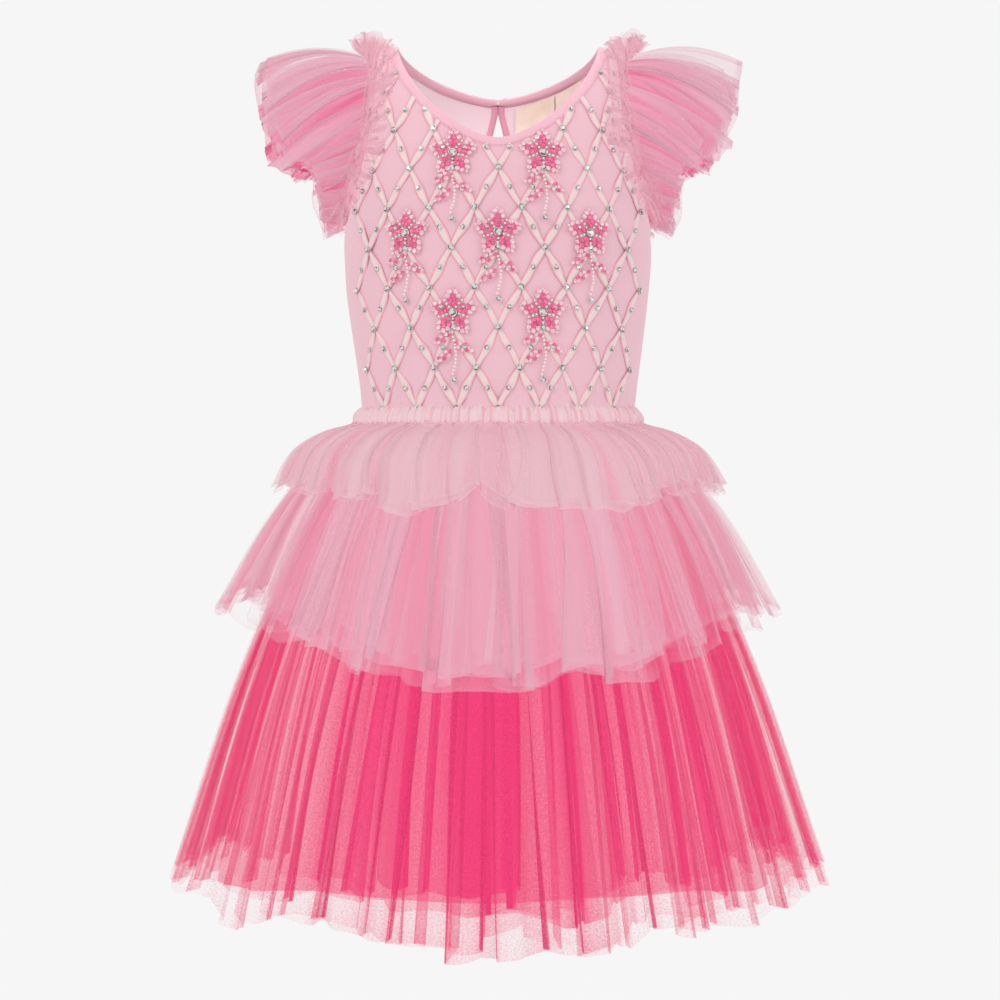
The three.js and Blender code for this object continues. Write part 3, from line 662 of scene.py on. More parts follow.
# The neck edge, from one side of the back slit round the front to the other
def neckEdge(count=320):
    slit = bodice["keyhole"][3]
    halfWidth = bodice["neckHalfWidth"]
    swing = np.linspace(0, math.pi, 200)
    front = halfWidth * np.cos(swing)
    lines = []
    backSwing = np.linspace(math.pi / 2 - 0.003, 0, 90)  # the ends almost meet above the keyhole
    for x, side in (
        (halfWidth * np.cos(backSwing), 1), (front, -1), (-halfWidth * np.cos(backSwing[::-1]), 1),
    ):
        height = neckLine(x, side)
        topKeys = np.linspace(-12, 8, 80)
        topWidth = readCurve(bodice["levels"], topKeys)[0]
        reach = np.interp(-np.abs(x), -topWidth, topKeys)
        height = np.minimum(height, reach)
        lines.append(np.stack([x, bodiceY(x, height, side), height], -1))
    line = np.concatenate(lines)
    line = line[(np.abs(line[:, 0]) >= slit) | (line[:, 1] < 0)]
    return ontoBodice(smoothLine(resample(line, count)))


binding = {  # distance from the edge, and height over the jersey
    "section": [
        (0.2, -1.5), (-0.2, -0.4), (0.2, 0.5), (1.4, 0.95), (3.2, 1.05), (5.0, 0.85), (6.2, 0.45), (6.5, 0.0),
        (6.2, -1.3), (3.2, -1.5),
    ],
    "keyholeSection": [
        (0.1, -2.3), (-0.2, 0.0), (0.3, 0.75), (2.2, 1.0), (4.0, 0.7), (4.5, 0.0), (4.1, -2.2),
    ],
}


# One side's line of the keyhole, mirrored and joined at its foot
def keyholeEdge(wide, height, count):
    right = np.stack([wide, bodiceY(wide, height, 1), height], -1)
    left = right[1:] * (-1, 1, 1)
    return ontoBodice(smoothLine(resample(np.concatenate([left[::-1], right]), count)))


def makeBinding():
    line = neckEdge()
    away = line - line.mean(0)
    ring = bandOnBodice(line, binding["section"], away)
    wobble = 0.12 * np.sin(np.arange(line.shape[0]) * 0.9)[None, :, None]
    ring[2:6] += bodiceNormal(line)[None] * wobble
    piece = fixOutward(meshFrom("neckBinding", *tubeFrom(ring, False), finishes["binding"]))
    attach(piece, "root")
    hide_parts("neck_binding")

    wide, height = keyholeOutline(0, 60)
    wide, height = np.append(wide, bodice["keyhole"][3]), np.append(height, -32.0)
    line = keyholeEdge(wide, height, 150)
    ring = bandOnBodice(line, binding["keyholeSection"], line - keyholeMiddle)
    edging = fixOutward(meshFrom("keyholeEdging", *tubeFrom(ring, False), finishes["edging"]))
    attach(edging, "root")
    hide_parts("keyhole_edging")


# Nets

# Knife pleats of random widths round a line. Each has a flat panel whose edge laps over the next one, and
# behind that edge the net is doubled to and fro. Gives each column's pleat, where the pleat starts, how far
# across it the column is, how far it laps over, its depth and its crease.
pleatSteps = np.array([  # across the pleat, along the lap, depth, crease
    (0.00, 0.00, -1.00, 0.30), (0.12, 0.00, -0.45, 0.10), (0.32, 0.00, 0.00, 0.00), (0.58, 0.00, 0.12, 0.00),
    (0.84, 0.25, 0.12, 0.05), (1.00, 0.88, 0.04, 0.60), (1.00, 1.00, -0.22, 1.00), (1.00, 0.40, -0.45, 0.55),
    (1.00, 0.92, -0.68, 0.90), (1.00, 0.18, -0.86, 0.60),
])


def pleatProfile(rng, count, lap, lean, spread=0.45):
    wide = np.exp(rng.normal(0, spread, count))
    start = np.concatenate([[0], np.cumsum(wide)]) / wide.sum()
    found = []
    for number in range(count):  # one pleat after another
        width = start[number + 1] - start[number]
        ahead, over, deep, mark = pleatSteps.T
        lapWidth = lap * rng.uniform(0.35, 1.7)
        place, lapped = ahead * width, over * lapWidth
        if rng.random() < lean:  # this one laps the other way
            place, lapped, deep, mark = width - place[::-1], -lapped[::-1], deep[::-1], mark[::-1]
        same = np.ones(len(place))
        found.append((same.astype(int) * number, same * start[number], place, lapped,
                      deep * rng.uniform(0.6, 1.25), mark))
    return [np.concatenate(part) for part in zip(*found)]


# Smooth random values that repeat round the dress
def softNoise(rng, turn, waves):
    total = np.zeros_like(turn)
    for wave in waves:
        total = total + np.sin(wave * turn + rng.uniform(0, 2 * math.pi))
    return total / math.sqrt(len(waves))


# A skirt's rows, which flare from the waist by the table's half widths and bulge by out
def skirtSection(sizes, halfWidth, out, height, turn):
    startHalf = sizes["table"][0][1]
    inset = waistHalf - startHalf
    flare = (halfWidth - startHalf) * sizes["depthShare"]
    front, back = (depth - inset + flare + out for depth in (waistFront, waistBack))
    return roundedSection(halfWidth + out, front, back, height, turn)


def tierRows(tier, layer):
    rng = np.random.default_rng(layer["seed"])
    lap = tier["lap"] / (2 * math.pi * tier["table"][-1][1])
    pleat, start, place, lapped, deep, crease = pleatProfile(
        rng, layer["pleats"], lap, tier["lean"], tier["spread"])
    share = np.linspace(0, 1, tier["rows"])[:, None] ** tier["rowBias"]
    drop = share * tier["table"][-1][0] * layer["reach"]
    halfWidth, fold = (part[:, None] for part in readCurve(tier["table"], drop[:, 0]))
    wander = np.zeros((tier["rows"], len(start)))
    for wave in (2, 5, 11):
        wander += np.sin(start[None] * 2 * math.pi * wave * 3 + share * wave + rng.uniform(0, 6)) / wave
    phase = rng.uniform(0, 2 * math.pi, (2, layer["pleats"]))[:, pleat]  # each pleat opens and closes
    opened = 0.65 + 0.55 * np.sin(share * 4.2 + phase[:1])
    slant = rng.normal(0, tier["slant"], layer["pleats"])[pleat][None] * share
    turn = 2 * math.pi * (start[None] + place[None] + lapped[None] * opened + slant)
    turn = turn + wander * tier["wander"] * share * (1 - 0.3 * share)
    turn = turn + math.pi / 2
    wave = softNoise(rng, turn, tier["waves"]) * tier["waveHeight"] * share**1.2
    crinkle = softNoise(rng, turn, (83, 127, 151)) * tier["crinkle"] * (1 - share) ** 1.5
    out = deep[None] * fold * (1.05 + 0.35 * np.sin(share * 3.1 + phase[1:])) + wave + crinkle
    out = out + layer["inset"] * share**0.8
    sink, lift = frontFolds(tier, turn)
    out = out - sink * share
    stretch = 1 + tier["frontStretch"] * np.sin(turn) ** 2
    ragged = softNoise(rng, turn, (5, 11, 17, 29)) * tier["ragged"]
    pleatStep = rng.normal(0, tier["jag"], layer["pleats"])[pleat][None]
    rounded = -tier["hemRound"] * deep[None] * share**4
    height = bodice["waist"] - skirtBelowWaist - drop * stretch
    height = height + (lift + ragged + pleatStep) * share**2 + rounded
    rows = skirtSection(tier, halfWidth, out, height, turn)
    density = rng.uniform(*tier["density"], layer["pleats"])[pleat] * layer["density"]
    density = density * (1 + tier["ridge"] * deep)[None] * (1 - tier["fade"] * share**2)
    density = density * np.maximum(1 + tier["clouds"] * softNoise(rng, turn, (5, 9, 15, 23)), 0.3)
    sideways = np.clip(np.abs(np.cos(turn)) / 0.9, 0, 1) ** tier["sideRamp"]
    density = density * (1 - tier["thinSides"] * sideways * layer["outer"])
    # recess sets painted shade in the net's colour, deepest where the pleat folds inward
    return rows, {"crease": crease, "fullness": density, "recess": -deep}


def frontFolds(tier, turn):
    degrees = np.degrees(turn) % 360
    sink, lift = np.zeros_like(degrees), np.zeros_like(degrees)
    for at, spread, rise, inward in tier["frontFolds"]:
        near = np.exp(-(((degrees - at) / spread) ** 2))
        sink += inward * near
        lift += rise * near
    return sink, lift


# A row of cloth measured along both ways, so that streaks run with the gathers
def clothUv(rows, clothWidth):
    rowCount, columnCount = rows.shape[:2]
    step = np.linalg.norm(np.diff(rows, axis=1), axis=-1).max(0)
    across = np.concatenate([[0], np.cumsum(step)])
    across = across / across[-1] * clothWidth
    down = np.cumsum(np.linalg.norm(np.diff(rows, axis=0, prepend=rows[:1]), axis=-1), 0)
    return np.stack([np.broadcast_to(across, (rowCount, columnCount)), down], -1).reshape(-1, 2)


# Closes a net at its seam: the last column repeats the first, so that the streaks don't turn back
def netPiece(name, rows, marks, material, clothWidth, closed=True):
    spread = {mark: np.broadcast_to(values, rows.shape[:2]) for mark, values in marks.items()}
    if closed:
        rows = np.concatenate([rows, rows[:, :1]], 1)
        spread = {mark: np.concatenate([values, values[:, :1]], 1) for mark, values in spread.items()}
    rowCount, columnCount = rows.shape[:2]
    spread["hem"] = np.zeros((rowCount, columnCount))
    spread["hem"][-1] = 1
    piece = meshFrom(name, rows.reshape(-1, 3), gridFaces(rowCount, columnCount, False), material,
                     uv=clothUv(rows, clothWidth), marks=spread)
    piece.visible_shadow = False  # fine net hardly shades what lies behind it
    piece.visible_diffuse = False
    return piece


skirtBelowWaist = 0.3
tierLayer = ("seed", "pleats", "inset", "reach", "density", "outer")  # the columns of a tier's layers

lowerTier = {
    "table": [(0, 86.9, 0.5), (60, 122, 3), (170, 172, 4.8), (303, 217, 6.4)],  # drop, half width, fold
    "depthShare": 0.75, "frontStretch": 0.1, "rows": 26, "rowBias": 1.0, "lap": 4.2, "lean": 0.4,
    "spread": 0.55, "slant": 0.003, "ridge": 0.15, "thinSides": 0.98, "sideRamp": 1.2,
    "fade": 0.35, "clouds": 0.42,
    "waves": (7, 13, 19), "waveHeight": 2.8, "crinkle": 0.4, "ragged": 3.4, "jag": 3.4, "wander": 0.014,
    "density": (0.82, 1.18), "hemRound": 1.0,
    "frontFolds": [(243, 6, 6, 3), (281, 5, -5, -4), (292, 3, 5, 4)],  # at, spread, lift, sink
    "layers": [
        (11, 48, -1, 1.0, 0.6, 0.93),
        (12, 54, -8, 0.985, 0.75, 0.93),
        (13, 50, -18, 0.94, 2.0, 1),
        (14, 56, -24, 0.91, 2.2, 1),
    ],
    "cloth": (1700, 330), "nodes": ("lower_tier_front", "lower_tier_back"), "slot": "bright_net",
    "net": "brightNet",
}
middleTier = {
    "table": [(0, 89.2, 0.4), (28, 119, 2.8), (72, 153, 4.6), (126, 183, 5.5)],
    "depthShare": 0.8, "frontStretch": 0.37, "rows": 20, "rowBias": 1.0, "lap": 5.5, "lean": 0.45,
    "spread": 0.6, "slant": 0.005, "ridge": 0.55, "thinSides": 0.85, "sideRamp": 4.0,
    "fade": 0.1, "clouds": 0.25,
    "waves": (7, 11, 17), "waveHeight": 3.0, "crinkle": 0.3, "ragged": 2.5, "jag": 3.2, "wander": 0.012,
    "density": (0.75, 1.25), "hemRound": 2.0,
    "frontFolds": [(232, 5, 8, 3), (258, 8, -4, -3), (283, 3, 6, 4), (300, 9, -3, -3)],
    "layers": [
        (21, 40, 1, 1.0, 0.85, 1),
        (22, 44, -6, 0.985, 0.9, 1),
        (23, 42, -11, 0.95, 1.2, 0.8),
        (24, 46, -17, 0.92, 1.3, 0.8),
    ],
    "cloth": (1600, 160), "nodes": ("middle_tier_front", "middle_tier_back"), "slot": "rose_net",
    "net": "roseNet",
}
peplum = {
    "table": [(0, 89.6, 0.5), (7, 95, 1.5), (12, 114, 3.5), (24, 134, 6), (46, 147, 8)],
    "depthShare": 0.86, "frontStretch": 0.36, "rows": 20, "rowBias": 0.9, "lap": 4.5, "lean": 0.5,
    "spread": 0.5, "slant": 0.005, "ridge": 0.7, "thinSides": 0.4, "sideRamp": 3.0,
    "fade": 0.0, "clouds": 0.2,
    "waves": (5, 9, 14), "waveHeight": 3.4, "crinkle": 0.4, "ragged": 2.5, "jag": 2.6, "wander": 0.03,
    "density": (0.75, 1.25), "hemRound": 3.0,
    "frontFolds": [(250, 5, -5, -3), (266, 3.5, 13, 5), (302, 6, -5, -3)],
    "layers": [
        (31, 44, 1, 1.0, 0.9, 1),
        (32, 50, -4.5, 0.95, 1.1, 1),
        (33, 46, -10, 0.97, 1.2, 1),
    ],
    "cloth": (1300, 70), "nodes": ("peplum_front", "peplum_back"), "slot": "pale_net",
    "net": "paleNet",
}


def makeTier(name, tier):
    clothWidth, clothLength = tier["cloth"]
    for number, sizes in enumerate(tier["layers"]):
        layer = dict(zip(tierLayer, sizes))
        rows, marks = tierRows(tier, layer)
        piece = netPiece(f"{name}{number + 1}", rows, marks, finishes[tier["net"]], clothWidth)
        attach(piece, "root")
        if number == 0:
            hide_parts(*tier["nodes"])


lining = {
    "table": [(0, 84.7, 0), (70, 111, 0.8), (180, 145, 2.4), (306, 179, 4.5)],
    "depthShare": 0.62, "waves": (9, 5, 13), "wall": 0.8, "columns": 240, "rows": 40,
}


def makeLining():
    rng = np.random.default_rng(5)
    turn = np.linspace(0, 2 * math.pi, lining["columns"] + 1)[None]
    share = np.linspace(0, 1, lining["rows"])[:, None]
    drop = share * lining["table"][-1][0]
    halfWidth, fold = (part[:, None] for part in readCurve(lining["table"], drop[:, 0]))
    wave = fold * softNoise(rng, turn, lining["waves"])
    height = bodice["waist"] - skirtBelowWaist - drop + share * fold * 0.5 * np.sin(5 * turn)
    whole = skirtSection(lining, halfWidth, wave, height, turn)
    seam = lining["columns"] // 2
    halves = {"liningBack": whole[:, : seam + 1], "liningFront": whole[:, seam:]}
    for name, rows in halves.items():
        piece = meshFrom(name, *wallFrom(rows, False, lining["wall"]), finishes["lining"])
        sharpenEdges(piece)
        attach(piece, "root")
        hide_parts("lining_back" if name == "liningBack" else "lining_front")


# The ruched band over the waist seam: fine gathers that stand out between two rows of stitching
heading = {"top": 1.8, "bottom": -8.5, "clear": 0.8, "puff": 4.2, "columns": 1500, "rows": 12, "gather": 0.8}


def makeHeading():
    rng = np.random.default_rng(8)
    turn = np.linspace(0, 2 * math.pi, heading["columns"], endpoint=False)[None]
    share = np.linspace(0, 1, heading["rows"])[:, None]
    height = bodice["waist"] + heading["top"] + (heading["bottom"] - heading["top"]) * share
    swell = np.sin(math.pi * share)
    gathers = softNoise(rng, turn + 0.01 * share, (97, 131, 163, 211))
    broken = softNoise(rng, turn, (41, 67)) * np.sin(2 * math.pi * share + 3 * np.sin(23 * turn))
    crinkle = (gathers + 0.5 * broken) * heading["gather"] * (0.35 + 0.65 * swell)
    puff = heading["clear"] + heading["puff"] * swell**0.6 + 4.5 * share**3
    edge = softNoise(rng, turn, (57, 91, 140)) * (1.3 * (1 - share) ** 3 + 0.8 * share**3)
    level = np.clip(height, bodice["waist"], 0)
    level, turn = np.broadcast_to(level, crinkle.shape), np.broadcast_to(turn, crinkle.shape)
    rows = sectionPoint(level, turn, puff + crinkle)
    rows[..., 2] = height + edge
    # recess sets painted shade in the hollows between the gathers
    marks = {"crease": np.clip(-gathers[0], 0, 1), "fullness": np.ones(heading["columns"]),
             "recess": np.clip(-gathers[0], 0, 1)}
    piece = netPiece("waistHeading", rows, marks, finishes["headingNet"], 1100)
    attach(piece, "root")
    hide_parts("waist_heading")


# Sleeves

sleeve = {
    "table": [  # angle, length, fall for each unit outwards, spread to front or back
        (-76, 12, 0.35, 0.9), (-35, 29, 0.5, 0.6), (0, 47, 0.5, 0.5), (35, 69, 0.3, 0.4), (90, 82, -0.5, 0.3),
    ],
    "droop": 36, "rows": 16, "clear": 0.7, "lap": 0.012, "lean": 0.5, "density": (0.4, 1.5),
    "layers": [
        (41, 15, 0.0, 1.0, 6.0, "sleeveNet", 2, 0.6),
        (42, 24, 3.0, 0.95, 6.0, "sleeveNet", 4, 0.8),
        (43, 28, 5.5, 0.84, 5.0, "hotSleeve", 5, 0.8),
        (44, 32, 8.0, 0.8, 5.0, "sleeveNet", 6, 1.2),
        (45, 34, 11.0, 0.7, 4.5, "hotSleeve", 5, 1.7),
    ],
    "cloth": (620, 75),
}
sleeveLayer = ("seed", "pleats", "inset", "reach", "fold", "net", "jag", "full")  # the columns of its layers


def armholePoint(angle, shrink=0.0):
    middle, halfHeight, halfDepth = bodice["armhole"]
    turn = np.radians(angle)
    y = -(halfDepth - shrink) * np.cos(turn)
    height = middle + (halfHeight - shrink) * np.sin(turn)
    halfWidth, front, back = readCurve(bodice["levels"], height)
    depth = np.where(y < 0, front, back)
    share = np.maximum(1 - np.abs(y / depth) ** bodice["power"], 0)
    return np.stack([halfWidth * share ** (1 / bodice["power"]), y, height], -1)


def sleeveRows(layer, seedShift):
    rng = np.random.default_rng(layer["seed"] + seedShift)
    pleat, start, place, lapped, deep, crease = pleatProfile(
        rng, layer["pleats"], sleeve["lap"], sleeve["lean"])
    lowest = sleeve["table"][0][0]
    spanAngle = 180 - 2 * lowest
    share = np.linspace(0, 1, sleeve["rows"])[:, None] ** 0.9
    across = np.clip(start[None] + (place + lapped)[None] * (0.7 + 0.3 * share), 0, 1)
    angle = lowest + spanAngle * across
    near = np.where(angle > 90, 180 - angle, angle)
    length, down, spread = readCurve(sleeve["table"], near)
    turn = np.radians(angle)
    base = armholePoint(angle, layer["inset"] * 0.5)
    out = unit(np.stack([np.ones_like(angle), -spread * np.cos(turn), -down], -1))
    jag = rng.normal(0, layer["jag"], layer["pleats"])[pleat][None] * (length / 80)
    ragged = 1 + 0.05 * softNoise(rng, turn, (3, 5, 8))
    run = share * (length * layer["reach"] * ragged + jag)
    inward = np.stack([np.zeros_like(angle), np.cos(turn), -np.sin(turn)], -1)
    lump = softNoise(rng, turn, (4, 7, 11)) * 2.5 * share
    phase = rng.uniform(0, 2 * math.pi, layer["pleats"])[pleat][None]
    fold = (0.6 + (layer["fold"] - 0.6) * share) * deep[None] * (1.2 + 0.4 * np.sin(4 * share + phase)) + lump
    fold = np.minimum(fold, 3.5)
    rows = base + out * run[..., None] + inward * (layer["inset"] * share - fold)[..., None]
    rows[..., 0] += sleeve["clear"]
    rows[..., 2] -= sleeve["droop"] * share**2 * np.maximum(np.sin(turn), 0)
    density = rng.uniform(*sleeve["density"], layer["pleats"])[pleat] * layer["full"]
    density = density * (1 + 0.4 * deep)[None] * (1.3 - 0.5 * share)
    # recess sets painted shade in the net's colour: deepest in the folds and strongest near the gathered seam
    # at the armhole
    return rows, {"crease": crease, "fullness": density, "recess": -deep[None] * (1.4 - share)}


def mirrorRows(rows, marks):
    return (rows * (-1, 1, 1))[:, ::-1], {mark: values[::-1] for mark, values in marks.items()}


def makeSleeves():
    for side, seedShift in (("Right", 0), ("Left", 100)):
        for number, sizes in enumerate(sleeve["layers"]):
            layer = dict(zip(sleeveLayer, sizes))
            cloth = sleeveRows(layer, seedShift)
            if side == "Left":
                cloth = mirrorRows(*cloth)
            name = f"sleeve{side}{number + 1}"
            piece = netPiece(name, *cloth, finishes[layer["net"]], sleeve["cloth"][0], closed=False)
            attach(piece, "root")
            if number == 0:
                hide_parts(f"sleeve_{side.lower()}_outer")
            if number == 2:
                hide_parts(f"sleeve_{side.lower()}_inner")


# The pale frill that lies from the sleeve seam over the edge of the bodice, and stands up on the shoulder
frill = {
    "table": [  # angle, how far it lies over the bodice, how far its edge rises
        (-62, 10, 4), (-35, 19, 7), (0, 24, 8), (40, 23, 9), (62, 16, 10), (78, 5, 12), (90, -2, 13),
    ],
    "fromEdge": -3.0, "clear": 1.6, "pleats": 30, "rows": 14, "lap": 0.012, "wave": 2.4,
    "lump": 1.6, "jag": 0.18, "clothWidth": 420,
    "layers": [(1.0, 0.0), (0.92, 2.0), (0.78, 4.0), (0.6, 6.0), (0.42, 7.0)],  # reach, rise
}


def frillRows(seed, reach, rise):
    rng = np.random.default_rng(seed)
    pleat, start, place, lapped, deep, crease = pleatProfile(rng, frill["pleats"], frill["lap"], 0.5, 0.6)
    share = np.linspace(1, 0, frill["rows"])[:, None]
    slant = rng.normal(0, 0.012, frill["pleats"])[pleat][None] * share
    across = np.clip(start[None] + (place + lapped)[None] * (0.6 + 0.4 * share) + slant, 0, 1)
    lowest = frill["table"][0][0]
    angle = lowest + (180 - 2 * lowest) * across
    over, lift = readCurve(frill["table"], np.where(angle > 90, 180 - angle, angle))
    onSeam = armholePoint(angle)
    along = unit(armholePoint(angle + 1) - armholePoint(angle - 1))
    inward = unit(np.cross(along, bodiceNormal(onSeam)))
    inward = np.where(inward[..., :1] > 0, -inward, inward)
    jag = rng.normal(0, frill["jag"], frill["pleats"])[pleat][None]
    jag = jag + 0.1 * softNoise(rng, np.radians(angle) * 1.3, (17, 29, 41))
    run = (over - frill["fromEdge"]) * share * reach * (1 + 0.7 * jag)
    point = ontoBodice(onSeam + inward * (frill["fromEdge"] + run)[..., None])
    normal = bodiceNormal(point)
    steep = unit(normal * over[..., None] - inward * lift[..., None])
    height = frill["clear"] + (lift * (1 + jag) + rise) * share
    wave = deep[None] * frill["wave"] * (0.15 + 0.85 * share)
    lump = frill["lump"] * softNoise(rng, np.radians(angle) * 1.3 + share, (7, 13, 21))
    lump = lump * np.sin(math.pi * share**0.8)
    rows = point + normal * height[..., None] + steep * np.maximum(wave + lump + 0.6 * share, -1.2)[..., None]
    fullness = rng.uniform(0.6, 1.3, frill["pleats"])[pleat] * (1 + 0.3 * deep)
    # recess sets painted shade in the net's colour, deepest where the pleats fold in
    return rows, {"crease": crease, "fullness": fullness, "recess": -deep}


def makeFrills():
    for side, seed in (("Right", 61), ("Left", 62)):
        for number, (reach, rise) in enumerate(frill["layers"]):
            cloth = frillRows(seed + 10 * number, reach, rise)
            if side == "Left":
                cloth = mirrorRows(*cloth)
            name = f"shoulderFrill{side}{number + 1}"
            piece = netPiece(name, *cloth, finishes["frillNet"], frill["clothWidth"], closed=False)
            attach(piece, "root")
            if number == 0:
                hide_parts(f"shoulder_trim_{side.lower()}")


# Trellis: ribbons pinched at every crossing, with a stone at each crossing and half way between

trellis = {
    "perQuarter": 9.6, "levelHeight": -137.7, "levelStep": 25.6, "lastColumn": 7, "lastLevel": 5,
    "halfWide": 2.9, "halfPinched": 1.3, "crown": 1.0, "steps": 10, "across": 7,
    "fromNeck": 5.6, "fromArmhole": 3.5, "aboveWaist": 0.6,
    "crossingStone": 2.05, "middleStone": 1.65,  # radius
}


def trellisTurn(share):
    turns = np.linspace(0, 1.15 * math.pi / 2, 200)
    points = sectionPoint(np.full(200, -134.0), turns - math.pi / 2)
    run = np.concatenate([[0], np.cumsum(np.linalg.norm(np.diff(points, axis=0), axis=-1))])
    return np.interp(share, run / np.interp(math.pi / 2, turns, run), turns)


def trellisPoint(column, level):
    column, level = np.asarray(column, float), np.asarray(level, float)
    turn = np.sign(column) * trellisTurn(np.abs(column) / trellis["perQuarter"]) - math.pi / 2
    return sectionPoint(trellis["levelHeight"] + level * trellis["levelStep"], turn)


def onOpenBodice(points):
    middle, halfHeight, halfDepth = bodice["armhole"]
    grow = trellis["fromArmhole"]
    belowNeck = points[:, 2] < neckLine(np.clip(points[:, 0], -71, 71), -1, trellis["fromNeck"])
    belowNeck |= np.abs(points[:, 0]) > bodice["neckHalfWidth"] + trellis["fromNeck"]
    forward, upward = points[:, 1] / (halfDepth + grow), (points[:, 2] - middle) / (halfHeight + grow)
    inArmhole = forward**2 + upward**2 < 1
    above = points[:, 2] > bodice["waist"] + trellis["aboveWaist"]
    return belowNeck & ~inArmhole & above & (points[:, 1] < 6)


def trellisSegments():
    found = []
    for column in range(-trellis["lastColumn"], trellis["lastColumn"]):
        for level in range(-trellis["lastLevel"], trellis["lastLevel"] + 1):
            if (column + level) % 2 == 0:
                found += [(column, level, 1), (column, level, -1)]
    return found


def ribbonStrip(column, level, rise):
    fine = np.linspace(0, 1, 60)
    line = trellisPoint(column + fine, level + rise * fine)
    kept = fine[onOpenBodice(line)]
    if len(kept) < 6:
        return None
    share = np.linspace(kept[0], kept[-1], trellis["steps"])
    line = trellisPoint(column + share, level + rise * share)
    normal = bodiceNormal(line)
    along = unit(np.gradient(line, axis=0))
    aside = np.cross(along, normal)
    swell = np.sin(math.pi * share) ** 0.8
    phase = column * 1.7 + level * 2.3 + rise
    line = ontoBodice(line + aside * (0.45 * np.sin(share * 6 + phase) * swell)[:, None])
    half = trellis["halfPinched"] + (trellis["halfWide"] - trellis["halfPinched"]) * swell
    half = half * (1 + 0.16 * np.sin(share * 9 + phase * 1.3))
    over = 0.55 * (1 if rise > 0 else -0.2) * (1 - swell)  # at a crossing one ribbon lies over the other
    across = np.linspace(-1, 1, trellis["across"])[:, None]
    crown = 0.25 + trellis["crown"] * (1 - across**2) * (0.6 + 0.4 * swell) + over
    crown = crown + 0.16 * np.sin(across * 9 + 5 * share) * swell  # pulled threads in the satin
    rows = line[None] + aside[None] * (half * across)[..., None]
    rows = ontoBodice(rows)
    rows = rows + bodiceNormal(rows) * crown[..., None]
    if np.cross(rows[1, 4] - rows[0, 4], rows[0, 5] - rows[0, 4]) @ normal[4] < 0:
        rows, across = rows[::-1], across[::-1]
    edge = np.broadcast_to(np.abs(across), rows.shape[:2])
    place = np.stack([np.broadcast_to(part, rows.shape[:2]) for part in (across * 3, share * 30)], -1)
    return rows, edge, place


def makeRibbons():
    points, faces, edges, places, first = [], [], [], [], 0
    for segment in trellisSegments():
        strip = ribbonStrip(*segment)
        if strip is None:
            continue
        rows, edge, place = strip
        points.append(rows.reshape(-1, 3))
        edges.append(edge.reshape(-1))
        places.append(place.reshape(-1, 2))
        faces.append(gridFaces(*rows.shape[:2], False, first))
        first += rows.shape[0] * rows.shape[1]
    piece = meshFrom("ribbons", np.concatenate(points), np.concatenate(faces), finishes["ribbon"],
                     uv=np.concatenate(places), marks={"edge": np.concatenate(edges)})
    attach(piece, "root")
    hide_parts("ribbon_trellis")


def stonePlaces():
    last = trellis["lastColumn"]
    levels = range(-trellis["lastLevel"], trellis["lastLevel"] + 1)
    crossings = [(c, v) for c in range(-last, last + 1) for v in levels if (c + v) % 2 == 0]
    middles = [(c + 0.5, v + rise * 0.5) for c, v, rise in trellisSegments()]
    seen, sizes = [], []
    for spots, size in ((crossings, trellis["crossingStone"]), (middles, trellis["middleStone"])):
        points = trellisPoint(*np.array(spots, float).T)
        points = points[onOpenBodice(points)]
        seen.append(points)
        sizes.append(np.full(len(points), size))
    return np.concatenate(seen), np.concatenate(sizes)


# Geometry Nodes: one copy of a small piece on every point, facing along "facing" and turned by "spin"

def makeScatterTree():
    tree = bpy.data.node_groups.new("scatterSmallPieces", "GeometryNodeTree")
    tree.interface.new_socket(name="Geometry", in_out="INPUT", socket_type="NodeSocketGeometry")
    sockets = {}
    for name, kind in (("Small Piece", "NodeSocketObject"), ("Finish", "NodeSocketMaterial"),
                       ("Size", "NodeSocketFloat")):
        sockets[name] = tree.interface.new_socket(name=name, in_out="INPUT", socket_type=kind).identifier
    tree.interface.new_socket(name="Geometry", in_out="OUTPUT", socket_type="NodeSocketGeometry")
    given, result = tree.nodes.new("NodeGroupInput"), tree.nodes.new("NodeGroupOutput")

    def readMark(name, kind):
        mark = addNode(tree, "GeometryNodeInputNamedAttribute", {"Name": name}, data_type=kind)
        return mark.outputs["Attribute"]

    piece = addNode(tree, "GeometryNodeObjectInfo", {"Object": given.outputs["Small Piece"]})
    spin = addNode(tree, "ShaderNodeCombineXYZ", {"Z": readMark("spin", "FLOAT")})
    facing = addNode(tree, "FunctionNodeAlignRotationToVector",
                     {"Vector": readMark("facing", "FLOAT_VECTOR")}, axis="Z")
    turned = addNode(tree, "FunctionNodeRotateRotation",
                     {"Rotation": facing.outputs[0], "Rotate By": spin.outputs[0]}, rotation_space="LOCAL")
    scaled = mathOf(tree, "MULTIPLY", readMark("size", "FLOAT"), given.outputs["Size"])
    copies = addNode(tree, "GeometryNodeInstanceOnPoints", {
        "Points": given.outputs["Geometry"], "Instance": piece.outputs["Geometry"],
        "Rotation": turned.outputs[0], "Scale": scaled})
    solid = addNode(tree, "GeometryNodeRealizeInstances", {"Geometry": copies.outputs[0]})
    finished = addNode(tree, "GeometryNodeSetMaterial", {"Geometry": solid.outputs[0],
                                                         "Material": given.outputs["Finish"]})
    tree.links.new(finished.outputs[0], result.inputs[0])
    return tree, sockets


